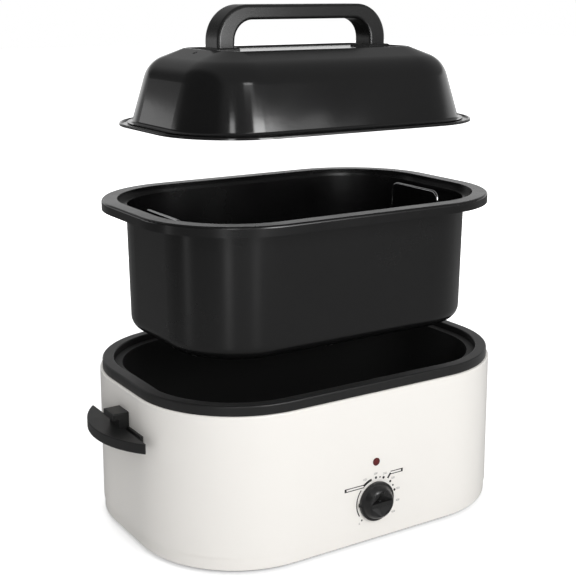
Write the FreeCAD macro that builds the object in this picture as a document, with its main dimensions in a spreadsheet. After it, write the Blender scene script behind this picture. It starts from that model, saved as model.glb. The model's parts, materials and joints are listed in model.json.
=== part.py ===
import FreeCAD, Part
import math
import os
import Sketcher

# Electric roaster oven: a painted steel base with a heated well, a lift-out cooking pan with a
# roasting rack, and a lift-off lid.
# Frame: origin on the worktop under the middle of the base, +Z up, -Y to the control side, millimetres.
# Every outline seen from above is the shell's rounded rectangle, drawn smaller by an inset.

Vector = FreeCAD.Vector
Rotation = FreeCAD.Rotation
Placement = FreeCAD.Placement

doc = FreeCAD.newDocument("roaster_oven")

# ---------------------------------------------------------------------------------------------
# Driving dimensions: name, value in millimetres or degrees, meaning
# ---------------------------------------------------------------------------------------------
DIMENSIONS = [
    ("shell_length", 510, "outside length of the painted shell"),
    ("shell_width", 360, "outside width of the painted shell"),
    ("corner_radius", 137, "corner radius of the shell seen from above"),
    ("shell_height", 192, "height of the shell from its skirt to its top edge"),
    ("shell_wall", 1.2, "sheet thickness of the shell"),
    ("shell_top_lip", 12, "width of the shell's inward top flange"),
    ("shell_bottom_lip", 9, "width of the shell's inward bottom flange"),
    ("shell_edge_radius", 2, "rounding of the shell's top and bottom edges"),
    ("skirt_height", 16.5, "height of the stepped-in skirt"),
    ("skirt_inset", 1.2, "how far the skirt steps in"),
    ("foot_height", 3.8, "height of a rubber foot below the bottom cover"),
    ("foot_radius", 11, "radius of a rubber foot"),
    ("foot_stem_radius", 3, "radius of the foot's push-in stem"),
    ("foot_stem_length", 5, "length of the foot's stem above its pad"),
    ("foot_span_x", 340, "distance between the feet along the length"),
    ("foot_span_y", 240, "distance between the feet across the width"),
    ("cover_wall", 1.2, "thickness of the bottom cover"),
    ("cover_inset", 4, "inset of the bottom cover from the shell outline"),
    ("cover_slot_length", 50, "length of a cooling slot in the bottom cover"),
    ("cover_slot_width", 5, "width of a cooling slot"),
    ("cover_slot_pitch", 14, "distance between cooling slots"),
    ("rim_height", 12, "height of the black rim above the shell"),
    ("rim_inset", 3.2, "inset of the rim's outer face from the shell outline"),
    ("rim_width", 14.6, "width of the rim's flat top"),
    ("rim_wall", 2.4, "wall thickness of the rim moulding"),
    ("rim_ledge_width", 9, "width of the ledge inside the rim"),
    ("rim_ledge_wall", 2.5, "thickness of the ledge inside the rim"),
    ("rim_outer_radius", 2.2, "rounding of the rim's outer top edge"),
    ("rim_inner_radius", 1.4, "rounding of the rim's inner top edge"),
    ("well_wall", 1, "sheet thickness of the heating well"),
    ("well_flange_clearance", 0.5, "gap round the well's flange inside the rim"),
    ("well_rim_clearance", 1.2, "gap between the well's wall and the rim's ledge"),
    ("well_floor_gap", 28, "space between the bottom cover and the well"),
    ("well_corner", 12, "outside radius of the well's bottom edge"),
    ("post_radius", 4, "radius of a post under the well"),
    ("post_span_x", 300, "distance between the posts along the length"),
    ("post_span_y", 180, "distance between the posts across the width"),
    ("screw_radius", 2, "shank radius of the machine screws"),
    ("screw_head_radius", 3.8, "head radius of the machine screws"),
    ("screw_head_height", 2.4, "head height of the machine screws"),
    ("screw_clearance", 0.3, "radial gap round a screw in a clearance hole"),
    ("thread_clearance", 0.05, "radial gap of a threaded or pushed-in fit"),
    ("post_screw_length", 10, "shank length of the bottom screws"),
    ("band_gap", 0.2, "gap between the heater band and the well"),
    ("band_wall", 3, "thickness of the heater band"),
    ("band_height", 60, "height of the heater band"),
    ("band_base", 52, "height of the heater band's lower edge"),
    ("blanket_gap", 0.3, "gap between the heater band and the blanket"),
    ("blanket_wall", 12, "thickness of the insulation blanket"),
    ("blanket_top_gap", 16, "gap between the blanket and the shell's upper edge"),
    ("blanket_base", 46, "height of the blanket's lower edge"),
    ("blanket_notch", 96, "width of the blanket's gap behind the control"),
    ("blanket_notch_height", 86, "height of that gap"),
    ("knob_height", 57, "height of the control knob's axis"),
    ("knob_radius", 25, "radius of the knob's skirt"),
    ("knob_skirt", 4, "thickness of the knob's skirt"),
    ("knob_crown_radius", 22, "radius of the knob's crown at its root"),
    ("knob_crown", 9.5, "height of the knob's crown above its skirt"),
    ("knob_taper", 8, "draft of the knob's crown in degrees"),
    ("knob_grip_width", 11, "width of the knob's grip bar"),
    ("knob_scoop_depth", 7.5, "depth of the finger scoops beside the grip"),
    ("knob_pointer_width", 5, "width of the knob's pointer tab"),
    ("knob_pointer_reach", 1.6, "how far the pointer tab passes the skirt"),
    ("knob_gap", 1, "gap between the knob and the shell"),
    ("shaft_radius", 3, "radius of the thermostat shaft"),
    ("shaft_engagement", 9, "length of the shaft inside the knob"),
    ("shaft_clearance", 0.05, "running clearance round the shaft"),
    ("shaft_depth", 12, "length of the shaft inside the thermostat"),
    ("shaft_hole_radius", 4.5, "radius of the shell's hole round the shaft"),
    ("thermostat_width", 36, "width of the thermostat body"),
    ("thermostat_height", 34, "height of the thermostat body"),
    ("thermostat_depth", 17, "depth of the thermostat body"),
    ("bracket_wall", 1.5, "thickness of the thermostat bracket"),
    ("bracket_width", 58, "width of the thermostat bracket"),
    ("bracket_height", 44, "height of the thermostat bracket"),
    ("control_screw_span", 30, "distance between the two control screws"),
    ("control_screw_head", 0.8, "head height of the control screws under the knob"),
    ("control_screw_length", 6, "shank length of the control screws"),
    ("bulb_radius", 2.5, "radius of the thermostat's sensing bulb"),
    ("bulb_length", 60, "length of the sensing bulb"),
    ("bulb_height", 118, "height of the sensing bulb"),
    ("clip_width", 8, "width of the clip that holds the bulb"),
    ("clip_wall", 1, "thickness of that clip"),
    ("capillary_radius", 1, "radius of the capillary tube"),
    ("capillary_bend", 8, "bend radius of the capillary tube"),
    ("lamp_height", 108, "height of the indicator lamp"),
    ("lens_radius", 5, "radius of the indicator lens"),
    ("lens_proud", 1.6, "how far the lens stands out of the shell"),
    ("lens_stem_radius", 4, "radius of the lens's stem"),
    ("lens_stem_length", 11, "length of the lens's stem behind the shell's face"),
    ("lens_bore_radius", 3, "radius of the bore in the stem"),
    ("lamp_clearance", 0.1, "gap round the lamp in the stem"),
    ("lamp_length", 14, "length of the lamp"),
    ("push_nut_radius", 8, "radius of the push nut behind the lens"),
    ("push_nut_wall", 1, "thickness of the push nut"),
    ("inlet_height", 34, "height of the cord inlet's axis"),
    ("inlet_radius", 7, "radius of the cord inlet's hole"),
    ("inlet_bore", 4, "radius of the bore for the cord"),
    ("inlet_flange_radius", 11, "radius of the inlet's outer flange"),
    ("inlet_flange_wall", 3, "thickness of the inlet's outer flange"),
    ("inlet_length", 16, "length of the inlet inside the shell"),
    ("terminal_length", 64, "length of the terminal block"),
    ("terminal_width", 16, "width of the terminal block"),
    ("terminal_height", 14, "height of the terminal block"),
    ("terminal_place", 120, "distance of the terminal block behind the middle"),
    ("terminal_pole_radius", 2.6, "radius of a terminal screw"),
    ("terminal_pole_proud", 1.5, "how far a terminal screw stands out of the block"),
    ("stud_radius", 2, "radius of a heater terminal stud"),
    ("stud_length", 8, "length of a heater terminal stud"),
    ("stud_span", 52, "distance between the two heater studs"),
    ("stud_height", 60, "height of the heater studs"),
    ("fuse_radius", 2.2, "radius of the thermal fuse"),
    ("fuse_length", 22, "length of the thermal fuse"),
    ("fuse_height", 100, "height of the thermal fuse"),
    ("lead_radius", 1.5, "radius of an insulated lead"),
    ("lead_bend", 10, "bend radius of an insulated lead"),
    ("lead_spacing", 12, "distance between neighbouring leads"),
    ("handle_drop", 57, "distance from the shell's upper edge down to the side handles"),
    ("handle_wall", 12.6, "thickness of the side handle's plate"),
    ("handle_arc_radius", 119, "radius of the plate's curved edge"),
    ("handle_chord", 156, "length of the side handle's plate"),
    ("handle_gap", 8, "distance of the plate's straight edge from the shell"),
    ("handle_reach", 31.3, "depth of the side handle's plate"),
    ("handle_flange", 108, "length of the side handle's wall flange"),
    ("handle_flange_wall", 3.5, "thickness of the wall flange"),
    ("handle_block_width", 29, "width of the side handle's block"),
    ("handle_block_reach", 21, "distance of the block's face from the shell"),
    ("handle_block_height", 18.6, "height of the block above the plate"),
    ("handle_hook", 8, "how far the block's upper part overhangs its root"),
    ("handle_hook_height", 11, "height of the space under that overhang"),
    ("handle_edge", 1.2, "rounding of the side handle's edges"),
    ("handle_screw_low", 4, "height of the lower handle screw above the underside"),
    ("handle_screw_high", 16, "height of the upper handle screw above the underside"),
    ("handle_screw_length", 9, "shank length of the handle screws"),
    ("pan_wall", 1.2, "sheet thickness of the cooking pan"),
    ("pan_depth", 170, "depth of the pan from its flange to its underside"),
    ("pan_flange_inset", 8, "inset of the pan's flange from the shell outline"),
    ("pan_flange_width", 20, "width of the pan's flange"),
    ("pan_lip_height", 12.4, "height of the flange's turned-down lip"),
    ("pan_flange_radius", 3, "rounding of the flange's outer edge"),
    ("pan_lip_wall", 1.2, "thickness of the turned-down lip"),
    ("pan_step", 8, "depth of the step that the lid sits in"),
    ("pan_ledge_width", 10.9, "width of the ledge that the lid sits on"),
    ("pan_draft", 1.3, "draft of the pan's wall in degrees"),
    ("pan_corner", 17, "outside radius of the pan's bottom edge"),
    ("pan_raise", 196.8, "height of the lifted pan above its seat"),
    ("lid_clearance", 5.4, "gap round the lid's flange in the pan's step"),
    ("lid_wall", 1.2, "sheet thickness of the lid"),
    ("lid_flange_width", 15.1, "width of the lid's flange"),
    ("lid_bead_width", 3.2, "width of the rolled bead on the lid's flange"),
    ("lid_bead_height", 3, "height of the rolled bead"),
    ("lid_ridge_width", 5, "width of the stepped ridge at the foot of the lid's wall"),
    ("lid_ridge_height", 3.6, "height of that ridge"),
    ("lid_foot_radius", 4, "rounding between that ridge and the lid's wall"),
    ("lid_rise", 78, "height of the lid's wall above its flange's underside"),
    ("lid_draft", 16, "slope of the lid's wall in degrees"),
    ("lid_shoulder", 38, "rounding of the lid's shoulder"),
    ("lid_roof_rise", 17, "height of the lid's sloping roof"),
    ("lid_roof_width", 45, "width of that roof seen from above"),
    ("lid_crest_width", 2.6, "width of the crest between the roof and the sunk panel"),
    ("lid_panel_depth", 2, "depth of the sunk panel that carries the lid handle"),
    ("lid_vent_radius", 3, "radius of the steam vent"),
    ("lid_vent_gap", 9, "distance of the steam vent's axis outside the crest"),
    ("lid_seat_gap", 0.3, "gap between the lid's flange and the pan's ledge"),
    ("lid_raise", 102, "height of the lifted lid above its seat in the lifted pan"),
    ("grip_end_gap", 4.5, "gap between the lid handle's feet and the end of the sunk panel"),
    ("grip_height", 56, "height of the lid handle above the lid"),
    ("grip_width", 35, "width of the lid handle"),
    ("grip_leg", 24.5, "thickness of the lid handle's legs"),
    ("grip_bar", 18.5, "thickness of the lid handle's bar"),
    ("grip_outer_radius", 44, "outside bend radius of the lid handle"),
    ("grip_inner_radius", 26, "inside bend radius of the lid handle"),
    ("grip_edge", 4, "rounding of the lid handle's edges"),
    ("grip_pad", 4, "how far the lid handle's feet spread"),
    ("grip_pad_height", 4, "height of the lid handle's feet"),
    ("grip_screw_length", 16, "shank length of the lid handle's screws"),
    ("washer_radius", 7, "radius of the washers inside the lid"),
    ("washer_wall", 1, "thickness of the washers inside the lid"),
    ("rack_wall_gap", 21.2, "gap between the rack's frame and the pan's wall at the floor"),
    ("rack_corner", 60, "corner radius of the roasting rack"),
    ("rack_wire", 2.5, "radius of the rack's frame wire"),
    ("rack_rod", 1.5, "radius of the rack's cross rods"),
    ("rack_handle_wire", 2, "radius of the wire of the end handles and feet"),
    ("rack_seat_gap", 0.2, "gap between the rack's feet and the pan's floor"),
    ("rack_foot_length", 28, "length of a wire foot at its underside"),
    ("rack_foot_spread", 14, "how far a foot's legs lean out"),
    ("rack_rod_pitch", 32, "distance between the cross rods"),
    ("rack_stand", 14, "height of the rack's frame above the pan's floor"),
    ("rack_handle_width", 100, "width of the rack's end handles"),
    ("rack_handle_rise", 144, "height of the rack's end handles"),
    ("rack_handle_lean", 8, "how far the end handles lean out"),
    ("rack_handle_bend", 12, "bend radius of the end handles"),
    ("rack_foot_span", 220, "distance between the rack's feet along the length"),
]

sizes = doc.addObject("Spreadsheet::Sheet", "sizes")
sizes.Label = "sizes"
for row, (alias, value, meaning) in enumerate(DIMENSIONS, start=1):
    sizes.set("A%d" % row, alias)
    sizes.set("B%d" % row, str(value))
    sizes.setAlias("B%d" % row, alias)
    sizes.set("C%d" % row, meaning)
doc.recompute()

# ---------------------------------------------------------------------------------------------
# Heights and insets that follow from the driving dimensions, as expressions for the sheet
# ---------------------------------------------------------------------------------------------
DERIVED = [
    ("no_inset", "0", "inset of the shell's own outline"),
    ("skirt_base", "foot_height + cover_wall", "height of the shell's lower edge"),
    ("groove_base", "skirt_base + skirt_height", "height of the step above the skirt"),
    ("shell_top", "skirt_base + shell_height", "height of the shell's top edge"),
    ("skirt_inner", "skirt_inset + shell_wall", "inset of the skirt's inner face"),
    ("bottom_lip_edge", "skirt_inner + shell_bottom_lip", "inset of the bottom flange's free edge"),
    ("rim_top", "shell_top + rim_height", "height of the rim's flat top"),
    ("rim_band_back", "rim_inset + rim_wall", "inset of the back of the rim's outer band"),
    ("rim_recess", "rim_inset + rim_width", "inset of the recess inside the rim"),
    ("rim_recess_back", "rim_recess - rim_wall", "inset of the back of the recess wall"),
    ("rim_opening", "rim_recess + rim_ledge_width", "inset of the rim's opening"),
    ("ledge_top", "shell_top + rim_ledge_wall", "height of the rim's ledge"),
    ("well_flange_edge", "rim_recess + well_flange_clearance", "inset of the well's flange"),
    ("well_outer", "rim_opening + well_rim_clearance", "inset of the well's outer face"),
    ("well_inner", "well_outer + well_wall", "inset of the well's inner face"),
    ("well_base", "skirt_base + well_floor_gap", "height of the well's underside"),
    ("well_floor", "well_base + well_wall", "height of the well's floor"),
    ("band_inner", "well_outer - band_gap", "inset of the heater band's inner face"),
    ("band_outer", "band_inner - band_wall", "inset of the heater band's outer face"),
    ("blanket_inner", "band_outer - blanket_gap", "inset of the blanket's inner face"),
    ("blanket_outer", "blanket_inner - blanket_wall", "inset of the blanket's outer face"),
    ("blanket_height", "shell_top - blanket_top_gap - blanket_base", "height of the blanket"),
    ("bulb_depth", "shell_width / 2 - well_outer + bulb_radius + band_gap", "distance of the bulb's axis"),
    ("front_face", "shell_width / 2", "distance of the shell's front face from the middle"),
    ("front_back", "front_face - shell_wall", "distance of the front wall's inner face"),
    ("bracket_back", "front_back - bracket_wall", "distance of the bracket's inner face"),
    ("end_face", "shell_length / 2", "distance of the shell's end face from the middle"),
    ("end_back", "end_face - shell_wall", "distance of the end wall's inner face"),
    ("pan_seat", "rim_top + pan_lip_height", "height of the pan's flange on the base"),
    ("pan_top", "pan_seat + pan_raise", "height of the pan's flange as it is shown"),
    ("pan_base", "pan_top - pan_depth", "height of the pan's underside"),
    ("pan_lip_back", "pan_flange_inset + pan_lip_wall", "inset of the inside of the flange's lip"),
    ("pan_mouth", "pan_flange_inset + pan_flange_width", "inset of the pan's mouth"),
    ("pan_step_outer", "pan_mouth - pan_wall", "inset of the outside of the pan's step"),
    ("pan_ledge", "pan_top - pan_step", "height of the pan's ledge"),
    ("pan_ledge_base", "pan_ledge - pan_wall", "height of the underside of the pan's ledge"),
    ("pan_bowl", "pan_mouth + pan_ledge_width", "inset of the pan's bowl under its ledge"),
    ("pan_floor", "pan_base + pan_wall", "height of the pan's floor"),
    ("pan_bowl_foot", "pan_bowl + ( pan_ledge_base - pan_base ) * tan( pan_draft )",
     "inset of the bowl at its underside"),
    ("pan_hollow", "pan_bowl + pan_wall", "inset of the pan's hollow under its ledge"),
    ("lid_outer", "pan_mouth + lid_clearance", "inset of the lid's flange"),
    ("lid_foot", "lid_outer + lid_flange_width", "inset of the foot of the lid's wall"),
    ("lid_foot_inside", "lid_foot + lid_wall", "inset of the inside of the lid's wall at its foot"),
    ("lid_bead_back", "lid_outer + lid_bead_width", "inset of the back of the lid's bead"),
    ("lid_ridge_edge", "lid_foot - lid_ridge_width", "inset of the ridge at the foot of the lid's wall"),
    ("lid_ridge_back", "lid_foot + lid_ridge_height * tan( lid_draft )",
     "inset of the lid's wall above its ridge"),
    ("lid_brow", "lid_foot + lid_rise * tan( lid_draft )", "inset of the top of the lid's wall"),
    ("lid_brow_inside", "lid_foot_inside + ( lid_rise - lid_wall ) * tan( lid_draft )",
     "inset of the top of the wall's inside"),
    ("lid_crest", "lid_brow + lid_roof_width", "inset of the top of the lid's roof"),
    ("lid_panel_edge", "lid_crest + lid_crest_width", "inset of the edge of the sunk panel"),
    ("lid_panel_foot", "lid_panel_edge + lid_panel_depth", "inset of the sunk panel's floor"),
    ("lid_roof_lean", "atan( lid_roof_width / lid_roof_rise )", "lean of the roof from upright"),
    ("lid_base", "pan_ledge + lid_seat_gap + lid_raise", "height of the lid's flange as shown"),
    ("lid_wall_top", "lid_base + lid_rise", "height of the top of the lid's wall"),
    ("lid_wall_top_inside", "lid_wall_top - lid_wall", "height of the top of the wall's inside"),
    ("lid_top", "lid_wall_top + lid_roof_rise", "height of the lid's crest"),
    ("lid_deck", "lid_top - lid_panel_depth", "height of the sunk panel"),
    ("lid_ceiling", "lid_deck - lid_wall", "height of the underside of the sunk panel"),
    ("lid_vent_place", "end_face - lid_crest + lid_vent_gap", "distance of the steam vent from the middle"),
    ("rack_level", "pan_floor + rack_stand", "height of the rack's frame wire"),
    ("rack_inset", "pan_hollow + ( pan_ledge - pan_floor ) * tan( pan_draft ) + rack_wall_gap + rack_wire",
     "inset of the middle of the rack's frame wire"),
    ("rack_length", "shell_length - 2 * rack_inset", "length of the roasting rack's frame"),
    ("rack_width", "shell_width - 2 * rack_inset", "width of the roasting rack's frame"),
    ("handle_height", "shell_top - handle_drop", "height of the side handle's underside"),
    ("grip_length", "shell_length - 2 * ( lid_panel_foot + grip_end_gap + grip_pad )",
     "length of the lid handle"),
    ("grip_screw_place", "grip_length / 2 - grip_leg / 2", "distance of a handle screw from the middle"),
]

derived = doc.addObject("Spreadsheet::Sheet", "derived")
derived.Label = "derived"
sheet_name = {alias: "sizes." + alias for alias, _, _ in DIMENSIONS}
for row, (alias, formula, meaning) in enumerate(DERIVED, start=1):
    terms = [sheet_name.get(word, word) for word in formula.split()]
    derived.set("A%d" % row, alias)
    derived.set("B%d" % row, "=" + " ".join(terms))
    derived.setAlias("B%d" % row, alias)
    derived.set("C%d" % row, meaning)
sheet_name.update({alias: "derived." + alias for alias, _, _ in DERIVED})
doc.recompute()

UP = Rotation()
DOWN = Rotation(Vector(1, 0, 0), 180)
FRONT = Rotation(Vector(1, 0, 0), 90)
BACK = Rotation(Vector(1, 0, 0), -90)
RIGHT = Rotation(Vector(0, 1, 0), 90)
LEFT = Rotation(Vector(0, 1, 0), -90)

subparts = []


# ---------------------------------------------------------------------------------------------
# Helpers
# ---------------------------------------------------------------------------------------------
def read(alias):
    """The value of a driving dimension or of a derived one."""
    sheet = derived if sheet_name[alias].startswith("derived.") else sizes
    return float(sheet.get(alias))


def spell(formula):
    """A formula of plain names, written with the sheet that holds each name."""
    return " ".join(sheet_name.get(word, word) for word in formula.split())


def bind(thing, formulas):
    """Binds the properties of an object to formulas of driving dimensions."""
    for prop, formula in formulas.items():
        thing.setExpression(prop, spell(formula))


def keep(node, thing):
    """Names an object as a finished sub-part."""
    thing.Label = node
    subparts.append((node, thing))
    return thing


def place(thing, base, turn=UP):
    """Turns an object and binds the three coordinates of its base."""
    thing.Placement = Placement(Vector(0, 0, 0), turn)
    bind(thing, dict(zip(("Placement.Base.x", "Placement.Base.y", "Placement.Base.z"), base)))
    return thing


def cylinder(name, radius, height, base, turn=UP):
    """A Part cylinder that starts at base and runs along the turned Z axis."""
    thing = doc.addObject("Part::Cylinder", name)
    bind(thing, {"Radius": radius, "Height": height})
    return place(thing, base, turn)


def box(name, extent, corner):
    """A Part box from its lowest corner."""
    thing = doc.addObject("Part::Box", name)
    bind(thing, dict(zip(("Length", "Width", "Height"), extent)))
    return place(thing, corner)


def fuse(name, pieces):
    thing = doc.addObject("Part::MultiFuse", name)
    thing.Shapes = pieces
    return thing


def cut(name, base, tools):
    thing = doc.addObject("Part::Cut", name)
    thing.Base = base
    thing.Tool = tools[0] if len(tools) == 1 else fuse(name + "_tools", tools)
    return thing


def group(name, pieces):
    thing = doc.addObject("Part::Compound", name)
    thing.Links = pieces
    return thing


def new_body(name):
    return doc.addObject("PartDesign::Body", name)


def new_sketch(body, name, height="0", role="XY_Plane"):
    """A sketch on one of the body's own origin planes, moved along its normal."""
    sketch = body.newObject("Sketcher::SketchObject", body.Name + "_" + name + "_sketch")
    origin_plane = [item for item in body.Origin.OriginFeatures if item.Role == role][0]
    sketch.AttachmentSupport = (origin_plane, [""])
    sketch.MapMode = "FlatFace"
    bind(sketch, {"AttachmentOffset.Base.z": height})
    return sketch


def dimension(sketch, name, constraint, formula):
    """Adds a named dimension to a sketch and binds it."""
    sketch.renameConstraint(sketch.addConstraint(constraint), name)
    bind(sketch, {"Constraints." + name: formula})


def outline(sketch, name, inset="no_inset"):
    """The shell's rounded rectangle, drawn smaller by an inset, as tangent lines and arcs."""
    half_length = read("shell_length") / 2 - read(inset)
    half_width = read("shell_width") / 2 - read(inset)
    radius = read("corner_radius") - read(inset)
    flat_x, flat_y = half_length - radius, half_width - radius
    quarter = math.pi / 2
    runs = [
        ((-flat_x, -half_width), (flat_x, -half_width), (flat_x, -flat_y), 3 * quarter),
        ((half_length, -flat_y), (half_length, flat_y), (flat_x, flat_y), 0),
        ((flat_x, half_width), (-flat_x, half_width), (-flat_x, flat_y), quarter),
        ((-half_length, flat_y), (-half_length, -flat_y), (-flat_x, -flat_y), 2 * quarter),
    ]
    first = sketch.GeometryCount
    for start, end, centre, angle in runs:
        sketch.addGeometry(Part.LineSegment(Vector(*start, 0), Vector(*end, 0)), False)
        circle = Part.Circle(Vector(*centre, 0), Vector(0, 0, 1), radius)
        sketch.addGeometry(Part.ArcOfCircle(circle, angle, angle + quarter), False)
    south, south_east, east, _, north, _, west, _ = range(first, first + 8)
    for step in range(4):
        line, arc = first + 2 * step, first + 2 * step + 1
        following = first + (2 * step + 2) % 8
        sketch.addConstraint(Sketcher.Constraint("Tangent", line, 2, arc, 1))
        sketch.addConstraint(Sketcher.Constraint("Tangent", arc, 2, following, 1))
        sketch.addConstraint(Sketcher.Constraint("Horizontal" if step % 2 == 0 else "Vertical", line))
        if step:
            sketch.addConstraint(Sketcher.Constraint("Equal", south_east, arc))
    sketch.addConstraint(Sketcher.Constraint("Symmetric", south, 1, north, 1, -1, 1))
    dimension(sketch, name + "_length", Sketcher.Constraint("DistanceX", west, 1, east, 1, 2 * half_length),
              "shell_length - 2 * " + inset)
    dimension(sketch, name + "_width", Sketcher.Constraint("DistanceY", south, 1, north, 1, 2 * half_width),
              "shell_width - 2 * " + inset)
    dimension(sketch, name + "_radius", Sketcher.Constraint("Radius", south_east, radius),
              "corner_radius - " + inset)


def round_hole(sketch, name, across, along, radius):
    """A circle placed by two bound distances from the sketch's origin."""
    circle = sketch.addGeometry(Part.Circle(Vector(1, 1, 0), Vector(0, 0, 1), 1), False)
    dimension(sketch, name + "_across", Sketcher.Constraint("DistanceX", -1, 1, circle, 3, 1), across)
    dimension(sketch, name + "_along", Sketcher.Constraint("DistanceY", -1, 1, circle, 3, 1), along)
    dimension(sketch, name + "_radius", Sketcher.Constraint("Radius", circle, 1), radius)


def rectangle(sketch, name, west, east, south, north):
    """A rectangle between four bound distances from the sketch's origin."""
    corners = [Vector(1, 1, 0), Vector(2, 1, 0), Vector(2, 2, 0), Vector(1, 2, 0)]
    first = sketch.GeometryCount
    for step in range(4):
        sketch.addGeometry(Part.LineSegment(corners[step], corners[(step + 1) % 4]), False)
    for step in range(4):
        following = first + (step + 1) % 4
        sketch.addConstraint(Sketcher.Constraint("Coincident", first + step, 2, following, 1))
        kind = "Horizontal" if step % 2 == 0 else "Vertical"
        sketch.addConstraint(Sketcher.Constraint(kind, first + step))
    dimension(sketch, name + "_west", Sketcher.Constraint("DistanceX", -1, 1, first, 1, 1), west)
    dimension(sketch, name + "_east", Sketcher.Constraint("DistanceX", -1, 1, first, 2, 2), east)
    dimension(sketch, name + "_south", Sketcher.Constraint("DistanceY", -1, 1, first, 1, 1), south)
    dimension(sketch, name + "_north", Sketcher.Constraint("DistanceY", -1, 1, first + 2, 1, 2), north)


def arch(sketch, name, half_width, base, rise, radius):
    """An upright rectangle with two rounded top corners, centred; gives the number of its foot line."""
    half, low, high, bend = 50.0, 10.0, 60.0, 20.0
    first = sketch.GeometryCount
    left, left_bend, top, right_bend, right, foot = range(first, first + 6)
    sketch.addGeometry(Part.LineSegment(Vector(-half, low, 0), Vector(-half, high - bend, 0)), False)
    centre = Part.Circle(Vector(bend - half, high - bend, 0), Vector(0, 0, 1), bend)
    sketch.addGeometry(Part.ArcOfCircle(centre, math.pi / 2, math.pi), False)
    sketch.addGeometry(Part.LineSegment(Vector(bend - half, high, 0), Vector(half - bend, high, 0)), False)
    centre = Part.Circle(Vector(half - bend, high - bend, 0), Vector(0, 0, 1), bend)
    sketch.addGeometry(Part.ArcOfCircle(centre, 0, math.pi / 2), False)
    sketch.addGeometry(Part.LineSegment(Vector(half, high - bend, 0), Vector(half, low, 0)), False)
    sketch.addGeometry(Part.LineSegment(Vector(half, low, 0), Vector(-half, low, 0)), False)
    sketch.addConstraint(Sketcher.Constraint("Tangent", left, 2, left_bend, 2))
    sketch.addConstraint(Sketcher.Constraint("Tangent", left_bend, 1, top, 1))
    sketch.addConstraint(Sketcher.Constraint("Tangent", top, 2, right_bend, 2))
    sketch.addConstraint(Sketcher.Constraint("Tangent", right_bend, 1, right, 1))
    sketch.addConstraint(Sketcher.Constraint("Coincident", right, 2, foot, 1))
    sketch.addConstraint(Sketcher.Constraint("Coincident", foot, 2, left, 1))
    sketch.addConstraint(Sketcher.Constraint("Vertical", left))
    sketch.addConstraint(Sketcher.Constraint("Vertical", right))
    sketch.addConstraint(Sketcher.Constraint("Horizontal", top))
    sketch.addConstraint(Sketcher.Constraint("Equal", left_bend, right_bend))
    sketch.addConstraint(Sketcher.Constraint("Symmetric", foot, 1, foot, 2, -2))
    dimension(sketch, name + "_half", Sketcher.Constraint("DistanceX", -1, 1, foot, 1, half), half_width)
    dimension(sketch, name + "_base", Sketcher.Constraint("DistanceY", -1, 1, foot, 1, low), base)
    dimension(sketch, name + "_rise", Sketcher.Constraint("DistanceY", foot, 1, top, 2, high - low), rise)
    dimension(sketch, name + "_bend", Sketcher.Constraint("Radius", left_bend, bend), radius)
    return foot


def pad(body, sketch, length, taper=None, both_ways=False):
    """A Pad along the sketch's normal, or half to each side of it."""
    feature = body.newObject("PartDesign::Pad", sketch.Name.replace("_sketch", ""))
    feature.Profile = sketch
    feature.Refine = True
    feature.Midplane = both_ways
    bind(feature, {"Length": length})
    if taper:
        bind(feature, {"TaperAngle": taper})
    doc.recompute()
    return feature


def pocket(body, sketch, length, taper=None, upward=False, both_ways=False):
    """A Pocket against the sketch's normal, or along it when upward."""
    before = body.Shape.Volume
    feature = body.newObject("PartDesign::Pocket", sketch.Name.replace("_sketch", ""))
    feature.Profile = sketch
    feature.Refine = True
    feature.Reversed = upward
    feature.Midplane = both_ways
    bind(feature, {"Length": length})
    if taper:
        bind(feature, {"TaperAngle": taper})
    doc.recompute()
    if not body.Shape.Volume < before:
        raise RuntimeError(feature.Name + " cuts nothing")
    return feature


def ring(body, name, outer, inner, base, height):
    """A Pad between two outlines."""
    sketch = new_sketch(body, name, base)
    outline(sketch, "outer", outer)
    outline(sketch, "inner", inner)
    return pad(body, sketch, height)


def slab(body, name, outer, base, height, taper=None):
    """A Pad of one outline."""
    sketch = new_sketch(body, name, base)
    outline(sketch, "outer", outer)
    return pad(body, sketch, height, taper)


def inset_of(point):
    """How far a point lies inside the shell's outline, seen from above."""
    along = abs(point.x) - (read("shell_length") / 2 - read("corner_radius"))
    across = abs(point.y) - (read("shell_width") / 2 - read("corner_radius"))
    if along > 0 and across > 0:
        return read("corner_radius") - math.hypot(along, across)
    return read("corner_radius") - max(along, across)


def outline_edges(body, height, inset=None):
    """Names of the level edges at a height, all of them or only those of the outline at an inset."""
    names = []
    for number, edge in enumerate(body.Shape.Edges, start=1):
        bounds = edge.BoundBox
        level_edge = abs(bounds.ZMin - height) < 0.01 and abs(bounds.ZMax - height) < 0.01
        middle = edge.valueAt((edge.FirstParameter + edge.LastParameter) / 2)
        if level_edge and (inset is None or abs(inset_of(middle) - inset) < 0.05):
            names.append("Edge%d" % number)
    return names


def round_edges(body, name, edges, radius):
    """A Fillet of named edges with a bound radius."""
    if not edges:
        raise RuntimeError(name + " finds no edge")
    solid = body.Tip
    feature = body.newObject("PartDesign::Fillet", body.Name + "_" + name)
    feature.Base = (solid, edges)
    bind(feature, {"Radius": radius})
    doc.recompute()
    if "Invalid" in feature.State:
        raise RuntimeError(feature.Name + " fails")
    return feature


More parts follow.
